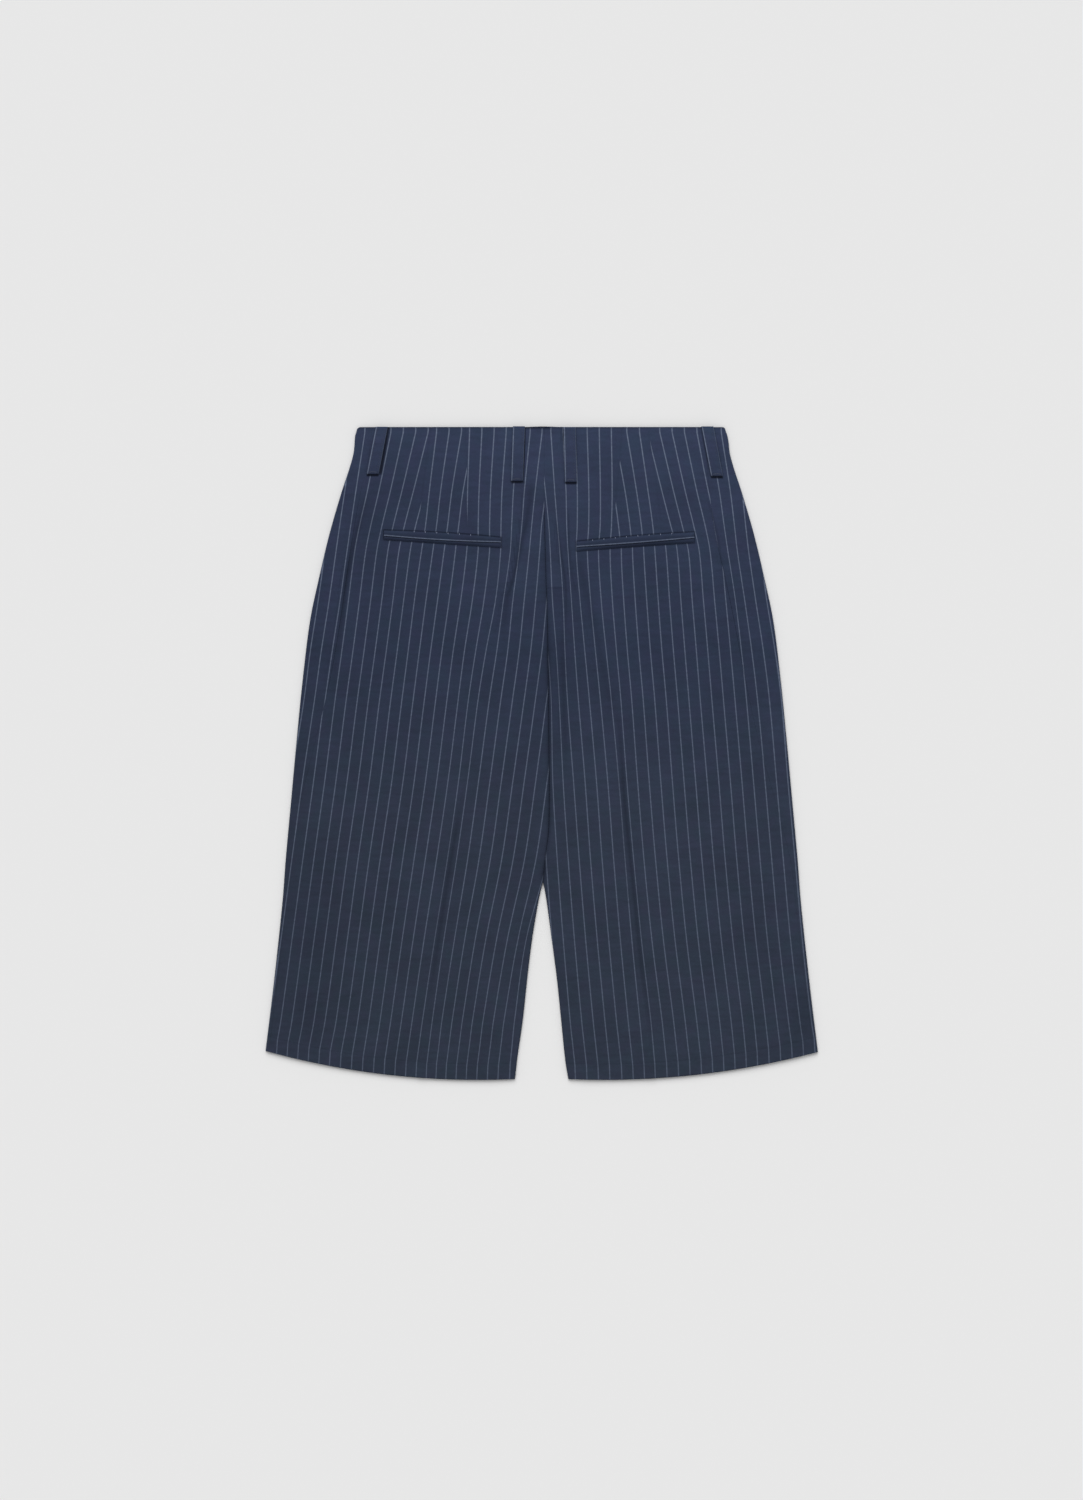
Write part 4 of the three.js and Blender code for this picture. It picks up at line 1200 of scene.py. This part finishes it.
def stitches(name, centres, directions, ups, length, thickness=THREAD):
    """Six-sided capsules: five rings whose radius follows a half ellipse, turned to each direction."""
    centres, directions, ups = (np.asarray(a, float) for a in (centres, directions, ups))
    directions = directions / np.linalg.norm(directions, axis=1, keepdims=True)
    sides = np.cross(directions, ups)
    along = np.array([-0.5, -0.36, 0, 0.36, 0.5])
    radius = thickness / 2 * np.array([0.25, 0.85, 1, 0.85, 0.25])
    angle = np.linspace(0, 2 * np.pi, 7)[:-1]
    ring = along[:, None] * length + 0 * angle
    across = radius[:, None] * np.cos(angle)
    height = radius[:, None] * np.sin(angle) - 0.25 * thickness * (2 * along[:, None]) ** 2
    template = np.stack([ring, across, height], axis=-1).reshape(-1, 3)
    basis = np.stack([directions, sides, ups], axis=1)
    points = (centres[:, None, :] + np.einsum("pk,nkd->npd", template, basis)).reshape(-1, 3)
    k = np.arange(len(angle))
    following = np.roll(k, -1)
    ring_quads = np.stack([k, following, following + len(k), k + len(k)], axis=-1)
    quads = (ring_quads[None] + len(k) * np.arange(len(along) - 1)[:, None, None]).reshape(-1, 4)
    caps = np.stack([k[::-1], len(template) - len(k) + k])
    first = len(template) * np.arange(len(centres))[:, None, None]
    faces = (quads[None] + first).reshape(-1, 4)
    caps = (caps[None] + first).reshape(-1, len(k))
    mesh = bpy.data.meshes.new(name)
    mesh.from_pydata((points * MM).tolist(), [], faces.tolist() + caps.tolist())
    mesh.polygons.foreach_set("use_smooth", np.ones(len(mesh.polygons), bool))
    mesh.update()
    piece = bpy.data.objects.new(name, mesh)
    bpy.context.scene.collection.objects.link(piece)
    print(name, "stitches:", len(centres))
    return piece


# %% Stitches of the belt loops
ROW_STITCH = 1.9
TACK_STITCH = 2.0
TACK_THREAD = 0.4
# Half the length of a bar tack, and how far above the loop's end it lies
TACK_REACH = 3.6
TACK_RISE = 2.2


def loop_stitches(name):
    """Two rows 2.2 mm in from the edges, and bar tacks of close stitches across the lower end."""
    sizes = BACK_LOOPS[name]
    axis = np.array([sizes["end"] - sizes["top"], -(sizes["down"] + sizes["above"]), 0])
    axis = axis / np.linalg.norm(axis)
    u = np.linspace(0.05, 0.96, 20)
    length = mix(-sizes["above"], sizes["down"], u)
    middle = mix(sizes["top"], sizes["end"], u)
    ground = loop_ground(sizes["side"], middle, length) + SEAM_GAP + LOOP_ARCH * np.sin(np.pi * u) ** 2
    places = []
    for edge in (-1, 1):
        x = middle + edge * (LOOP_WIDTH / 2 - STITCH_INSET)
        places.append(np.stack([x, WAIST_Y - length, ground + LOOP_WALL * 0.9], axis=-1))
    rows = np.concatenate(places)
    k = np.linspace(-1, 1, 13)
    tack_y = WAIST_Y - (sizes["down"] - TACK_RISE) + 0.5 * np.cos(k * 40)
    tack_z = ground[-1] + LOOP_WALL * 1.08
    tacks = np.stack([sizes["end"] + k * TACK_REACH, tack_y, tack_z + 0 * k], axis=-1)
    return rows, np.repeat(axis[None], len(rows), 0), tacks


loop_rows = [loop_stitches(name) for name in BACK_LOOPS]
row_centres, row_directions, tack_centres = (np.concatenate(part) for part in zip(*loop_rows))


def repeated(direction, centres):
    """The same direction for every stitch."""
    return np.tile(direction, (len(centres), 1))


UP = [0, 0, 1.0]
row_ups, tack_ups = repeated(UP, row_centres), repeated(UP, tack_centres)
tack_directions = repeated([0.25, 1.0, 0], tack_centres)
seams_thread = stitches("belt_loop_stitches", row_centres, row_directions, row_ups, ROW_STITCH)
tacks_thread = stitches(
    "belt_loop_bar_tacks", tack_centres, tack_directions, tack_ups, TACK_STITCH, TACK_THREAD
)

# %% Pocket picks
# X of the first pick of each pocket and how many there are
PICKS = {"left": (-126.8, 6), "right": (51.6, 8)}
PICK_STEP = 11.3
PICK_LENGTH = 1.5
PICK_THREAD = 0.75


def pocket_picks(side):
    """Places on the upper ditch of a pocket, one for each stripe of the cloth folded in there."""
    first, count = PICKS[side]
    x = first + PICK_STEP * np.arange(count)
    down = pocket_line(side, "top", x) + 0.5
    z = upper_top(side, x, down) + SEAM_GAP + LIP_WALL * 0.78
    return np.stack([x, WAIST_Y - down, z], axis=-1)


pick_centres = np.concatenate([pocket_picks(side) for side in SIGN])
picks_thread = stitches(
    "pocket_picks",
    pick_centres,
    repeated([0, 1.0, 0], pick_centres),
    repeated(UP, pick_centres),
    PICK_LENGTH,
    PICK_THREAD,
)

# %% Fly stitching
FLY_WIDTH = 38.0
FLY_STRAIGHT = 126.0
FLY_HOOK = 30.0
FLY_STEP = 2.9
FLY_STITCH = 2.2
FLY_THREAD = 0.32
FLY_HEIGHT = 0.17


def fly_stitches():
    """Row 38 mm beside the centre front, hooked at its end by a quarter ellipse to the seam."""
    straight = np.arange(4, FLY_STRAIGHT, FLY_STEP)
    t = np.linspace(0, np.pi / 2, 20)[1:]
    beside = np.r_[0 * straight + FLY_WIDTH, FLY_WIDTH * np.cos(t)]
    down = np.r_[straight, FLY_STRAIGHT + FLY_HOOK * np.sin(t)]
    centres = np.stack([CENTRE_FRONT_X + beside, WAIST_Y - down, 0 * down + FLY_HEIGHT], axis=-1)
    return centres, np.gradient(centres, axis=0)


DOWNWARDS = [0, 0, -1.0]
fly_centres, fly_directions = fly_stitches()
fly_ups = repeated(DOWNWARDS, fly_centres)
fly_thread = stitches("fly_stitches", fly_centres, fly_directions, fly_ups, FLY_STITCH, FLY_THREAD)

# %% [markdown]
# ## Finishes
#
# The suiting is a worsted twill: smooth dyed yarn, matt, with a faint sheen at grazing light. The twill
# line of real suiting is 0.5 mm wide, too fine for the picture, so it is drawn 1.3 mm wide. The
# stripe is a single pale yarn that surfaces between the navy ones, so it is thin and slightly
# broken. It is drawn from the grain coordinates, in metres, so it follows the cloth everywhere.

# %% Colours and nodes


def linear(hex_code):
    """sRGB hex to linear: divide by 12.92 below 0.04045, else ((c + 0.055) / 1.055) to the 2.4."""
    c = np.array([int(hex_code[i : i + 2], 16) / 255 for i in (1, 3, 5)])
    return (*np.where(c <= 0.04045, c / 12.92, ((c + 0.055) / 1.055) ** 2.4), 1.0)


def add_node(tree, kind, inputs=None, **settings):
    """Adds a node, sets its properties, and sets or links each named or numbered input."""
    node = tree.nodes.new(kind)
    for key, value in settings.items():
        setattr(node, key, value)
    for key, value in (inputs or {}).items():
        if isinstance(value, bpy.types.NodeSocket):
            tree.links.new(value, node.inputs[key])
        else:
            node.inputs[key].default_value = value
    return node


def new_material(name):
    """A material with an empty node tree, and that tree."""
    material = bpy.data.materials.new(name)
    material.use_nodes = True
    material.node_tree.nodes.clear()
    return material, material.node_tree


print("middle grey in linear light:", round(float(linear("#808080")[0]), 3))

# %% Suiting
MATH = "ShaderNodeMath"
MIX = "ShaderNodeMix"
RANGE = "ShaderNodeMapRange"
NOISE = "ShaderNodeTexNoise"
STRIPE_WIDTH = 1.0
STRIPE_SOFTNESS = 0.3
TWILL = 1.3
# Height on the garment, cloth colour and strength of the stripe, from the hem to the waist; painted
# light makes the cloth bluer and, near the waist, paler, and its stripe stronger towards the waist
NAVY_AND_PAINTED_LIGHT_BY_HEIGHT = [
    (-0.327, "#28303f", 0.5),
    (-0.06, "#283041", 0.62),
    (0.1, "#262f44", 0.7),
    (0.26, "#2a334a", 0.87),
    (0.32, "#2e3850", 0.98),
]
STRIPE_COLOR = "#697388"
# Colours towards which painted shade and painted light mix the cloth
PAINTED_SHADE_COLOR = "#040c1e"
PAINTED_LIGHT_COLOR = "#64708c"
# Noise features a metre: broad tone, tint, yarn, and the weft's slubs across and along the stripes
BROAD_SCALE = 22.0
TINT_SCALE = 60.0
YARN_SCALE = 420.0
WEFT_SCALE = (50.0, 260.0, 50.0)


def worsted_pinstripe():
    """Navy twill: a stripe shows where the grain's distance to a whole pitch is under half its
    width, and the painted shade of a line is a bell of the line's distance."""
    material, tree = new_material("worsted_pinstripe_twill")

    def out(kind, inputs=None, socket=0, **settings):
        """One output of a new node."""
        return add_node(tree, kind, inputs, **settings).outputs[socket]

    def multiplied(color, factor, dark, light):
        """color times a tone between dark and light."""
        tone = out(MIX, {0: factor, 6: (*dark, 1), 7: (*light, 1)}, 2, data_type="RGBA")
        return out(MIX, {0: 1.0, 6: color, 7: tone}, 2, data_type="RGBA", blend_type="MULTIPLY")

    def spread(scale, low, high):
        """Noise of that many features a metre, stretched so that low and high become 0 and 1."""
        noise = out(NOISE, {"Vector": place, "Scale": scale, "Detail": 3.0})
        return out(RANGE, {0: noise, 1: low, 2: high})

    grain_parts = add_node(tree, "ShaderNodeSeparateXYZ", {0: out("ShaderNodeUVMap", uv_map="grain")})
    across, along = grain_parts.outputs[0], grain_parts.outputs[1]
    turns = out(MATH, {0: across, 1: PITCH * MM}, operation="DIVIDE")
    turns = out(MATH, {0: turns, 1: 0.5}, operation="ADD")
    past_half = out(MATH, {0: turns}, operation="FRACT")
    off_line = out(MATH, {0: past_half, 1: 0.5}, operation="SUBTRACT")
    off_line = out(MATH, {0: off_line}, operation="ABSOLUTE")
    distance = out(MATH, {0: off_line, 1: PITCH}, operation="MULTIPLY")
    inside, outside = STRIPE_WIDTH / 2 - STRIPE_SOFTNESS, STRIPE_WIDTH / 2 + STRIPE_SOFTNESS
    fade = {0: distance, 1: inside, 2: outside, 3: 1.0, 4: 0.0}
    line = out(RANGE, fade, interpolation_type="SMOOTHSTEP")

    place = out("ShaderNodeTexCoord", socket="Object")
    place_parts = add_node(tree, "ShaderNodeSeparateXYZ", {0: place})
    sideways, height = place_parts.outputs[0], place_parts.outputs[1]
    # Painted light: cloth colour and stripe strength change with height on the garment
    low, high = NAVY_AND_PAINTED_LIGHT_BY_HEIGHT[0][0], NAVY_AND_PAINTED_LIGHT_BY_HEIGHT[-1][0]
    share = out(RANGE, {0: height, 1: low, 2: high, 3: 0.0, 4: 1.0})
    ramp = add_node(tree, "ShaderNodeValToRGB", {0: share})
    stops = ramp.color_ramp.elements
    stops.remove(stops[1])
    for k, (y, code, strength) in enumerate(NAVY_AND_PAINTED_LIGHT_BY_HEIGHT):
        at = (y - low) / (high - low)
        stop = stops.new(at) if k else stops[0]
        stop.color = (*linear(code)[:3], strength)
    yarn = out(NOISE, {"Vector": place, "Scale": YARN_SCALE, "Detail": 2.0})
    broken = out(RANGE, {0: yarn, 1: 0.3, 2: 0.7, 3: 0.6, 4: 1.0})
    stripe = out(MATH, {0: line, 1: broken}, operation="MULTIPLY")
    stripe = out(MATH, {0: stripe, 1: ramp.outputs["Alpha"]}, operation="MULTIPLY")

    # Painted light: the cloth is drawn a little darker on the left and paler on the right
    painted_light_to_right = out(RANGE, {0: sideways, 1: -0.2, 2: 0.2})
    stretched = out("ShaderNodeMapping", {"Vector": place, "Scale": WEFT_SCALE})
    weft = out(NOISE, {"Vector": stretched, "Scale": 1.0, "Detail": 1.0})
    cloth = multiplied(ramp.outputs[0], spread(BROAD_SCALE, 0.35, 0.65), [0.93] * 3, [1.07] * 3)
    cloth = multiplied(cloth, spread(TINT_SCALE, 0.3, 0.7), (1.07, 0.975, 1.03), (0.93, 1.03, 0.98))
    cloth = multiplied(cloth, yarn, [0.88] * 3, [1.12] * 3)
    cloth = multiplied(cloth, painted_light_to_right, (0.975, 0.975, 0.98), [1.06] * 3)
    cloth = multiplied(cloth, weft, [0.83] * 3, [1.17] * 3)
    striped = out(MIX, {0: stripe, 6: cloth, 7: linear(STRIPE_COLOR)}, 2, data_type="RGBA")

    away = out("ShaderNodeAttribute", socket="Fac", attribute_name="line_distance")
    line_strength = out("ShaderNodeAttribute", socket="Fac", attribute_name="line_shade")
    broad = out("ShaderNodeAttribute", socket="Fac", attribute_name="shade")
    squared = out(MATH, {0: away, 1: away}, operation="MULTIPLY")
    negative = out(MATH, {0: squared, 1: -1.0}, operation="MULTIPLY")
    line_bell = out(MATH, {0: negative}, operation="EXPONENT")
    line_shade = out(MATH, {0: line_bell, 1: line_strength}, operation="MULTIPLY")
    # Painted shade darkens the cloth towards the dark shade colour; below 0 it paints light towards the pale
    # one
    shade = out(MATH, {0: broad, 1: line_shade}, operation="ADD")
    darker = out("ShaderNodeClamp", {0: shade})
    paler = out("ShaderNodeClamp", {0: out(MATH, {0: shade, 1: -1.0}, operation="MULTIPLY")})
    color = out(MIX, {0: darker, 6: striped, 7: linear(PAINTED_SHADE_COLOR)}, 2, data_type="RGBA")
    color = out(MIX, {0: paler, 6: color, 7: linear(PAINTED_LIGHT_COLOR)}, 2, data_type="RGBA")

    rib_across = out(MATH, {0: across, 1: 0.85}, operation="MULTIPLY")
    rib_along = out(MATH, {0: along, 1: 0.53}, operation="MULTIPLY")
    rib = out(MATH, {0: rib_across, 1: rib_along}, operation="ADD")
    phase = out(MATH, {0: rib, 1: 2 * np.pi / (TWILL * MM)}, operation="MULTIPLY")
    wave = out(MATH, {0: phase}, operation="SINE")
    low_wave = out(MATH, {0: wave, 1: 0.35}, operation="MULTIPLY")
    bumps = out(MATH, {0: low_wave, 1: yarn}, operation="ADD")
    bump = out("ShaderNodeBump", {"Height": bumps, "Strength": 0.35, "Distance": 0.00025})
    finish = {
        "Base Color": color,
        "Roughness": 0.88,
        "IOR": 1.46,
        "Specular IOR Level": 0.25,
        "Sheen Weight": 0.08,
        "Sheen Roughness": 0.4,
        "Sheen Tint": linear("#aab4cc"),
        "Normal": bump,
    }
    shader = out("ShaderNodeBsdfPrincipled", finish)
    add_node(tree, "ShaderNodeOutputMaterial", {0: shader})
    return material


suiting = worsted_pinstripe()
print("nodes of the suiting:", len(suiting.node_tree.nodes))

# %% Facing and thread


def plain_cloth(name, dark, light, grain_size, roughness):
    """Plain woven cloth or thread: two close tones mixed by noise at the size of its yarn."""
    material, tree = new_material(name)
    place = add_node(tree, "ShaderNodeTexCoord").outputs["Object"]
    yarns = {"Vector": place, "Scale": 1 / (grain_size * MM), "Detail": 2.0}
    noise = add_node(tree, NOISE, yarns).outputs[0]
    tones = {0: noise, 6: linear(dark), 7: linear(light)}
    color = add_node(tree, MIX, tones, data_type="RGBA").outputs[2]
    bump = add_node(tree, "ShaderNodeBump", {"Height": noise, "Strength": 0.3, "Distance": 0.0002})
    finish = {"Base Color": color, "Roughness": roughness, "IOR": 1.5, "Normal": bump.outputs[0]}
    shader = add_node(tree, "ShaderNodeBsdfPrincipled", finish)
    add_node(tree, "ShaderNodeOutputMaterial", {0: shader.outputs[0]})
    return material


facing = plain_cloth("plain_weave_facing", "#232939", "#2b3244", 1.2, 0.9)
navy_thread = plain_cloth("polyester_thread_navy", "#2a3144", "#3b435a", 0.6, 0.6)
pale_thread = plain_cloth("pale_stripe_yarn", "#727a93", "#8a92a9", 0.6, 0.7)
print("finishes:", [material.name for material in (suiting, facing, navy_thread, pale_thread)])

# %% [markdown]
# ## Dress each piece
#
# Every piece rides on the one body and gets its finish, and the solid of the record that it stands
# for is hidden. The area of each panel is printed.

# %% Finishes and bodies


def dress(piece, material, slot_name, *nodes):
    """Gives a piece its finish and its body, and hides the solids that it stands for; slot_name is not used.
    """
    piece.data.materials.append(material)
    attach(piece, "root")
    if nodes:
        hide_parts(*nodes)


for side in SIGN:
    dress(backs[side], suiting, "suiting", f"back_{side}")
    dress(fronts[side], suiting, "suiting", f"front_{side}")
    dress(front_loops[side], suiting, "suiting", f"belt_loop_front_{side}")
for name, piece in loops.items():
    dress(piece, suiting, "suiting", name)
for (side, which), piece in lips.items():
    dress(piece, suiting, "suiting", f"pocket_{side}_{which}_lip")
dress(shield, facing, "facing", "fly_shield")
for piece in (seams_thread, tacks_thread, fly_thread):
    dress(piece, navy_thread, "thread")
dress(picks_thread, pale_thread, "thread")


def sheet_area(piece):
    """Half the area of a closed thin wall, in square metres: each side counts once."""
    areas = np.empty(len(piece.data.polygons))
    piece.data.polygons.foreach_get("area", areas)
    return float(areas.sum()) / 2


for side in SIGN:
    on_back = [loop for name, loop in loops.items() if side in name]
    on_back += [lips[side, which] for which in ("upper", "lower")]
    round(sheet_area(backs[side]), 4)
    round(sheet_area(fronts[side]), 4)
    areas = {"back": sheet_area(backs[side]), "front": sheet_area(fronts[side])}
    print(side, "panels, m2:", {name: round(area, 4) for name, area in areas.items()})

# %% [markdown]
# ## Table and light
#
# A pale, even table and a broad soft light from beyond the waist, with bright surroundings: the
# shadows are short and soft and fall towards the hems. A lamp near the table would light one end
# more than the other, so the softbox is a very distant one: a sun that is 50 degrees across.

# %% Floor
FLOOR_SIZE = 8.0
FLOOR_COLOR = "#e9e9e9"
floor_mesh = bpy.data.meshes.new("floor")
floor_corners = np.array([[-1, -1, 0], [1, -1, 0], [1, 1, 0], [-1, 1, 0]]) * FLOOR_SIZE / 2
floor_mesh.from_pydata(floor_corners.tolist(), [], [(0, 1, 2, 3)])
floor = bpy.data.objects.new("floor", floor_mesh)
bpy.context.scene.collection.objects.link(floor)
floor_material, floor_tree = new_material("matt_white_table")
floor_shader = add_node(
    floor_tree, "ShaderNodeBsdfPrincipled", {"Base Color": linear(FLOOR_COLOR), "Roughness": 0.9}
)
add_node(floor_tree, "ShaderNodeOutputMaterial", {0: floor_shader.outputs[0]})
floor_mesh.materials.append(floor_material)
print("floor, m:", FLOOR_SIZE)

# %% Light
WORLD_STRENGTH = 0.54
KEY_STRENGTH = 1.86
KEY_SOFTNESS = 50.0
KEY_ELEVATION = 48.0
KEY_TURN = 10.0
world = bpy.data.worlds.new("studio")
world.use_nodes = True
world.node_tree.nodes["Background"].inputs[0].default_value = (1, 1, 1, 1)
world.node_tree.nodes["Background"].inputs[1].default_value = WORLD_STRENGTH
bpy.context.scene.world = world

key_data = bpy.data.lights.new("softbox", "SUN")
key_data.energy = KEY_STRENGTH
key_data.angle = np.radians(KEY_SOFTNESS)
key = bpy.data.objects.new("softbox", key_data)
key.rotation_euler = (np.radians(KEY_ELEVATION - 90), 0, np.radians(KEY_TURN))
bpy.context.scene.collection.objects.link(key)
bpy.context.scene.view_settings.view_transform = "Standard"
print("softbox, degrees across:", KEY_SOFTNESS)
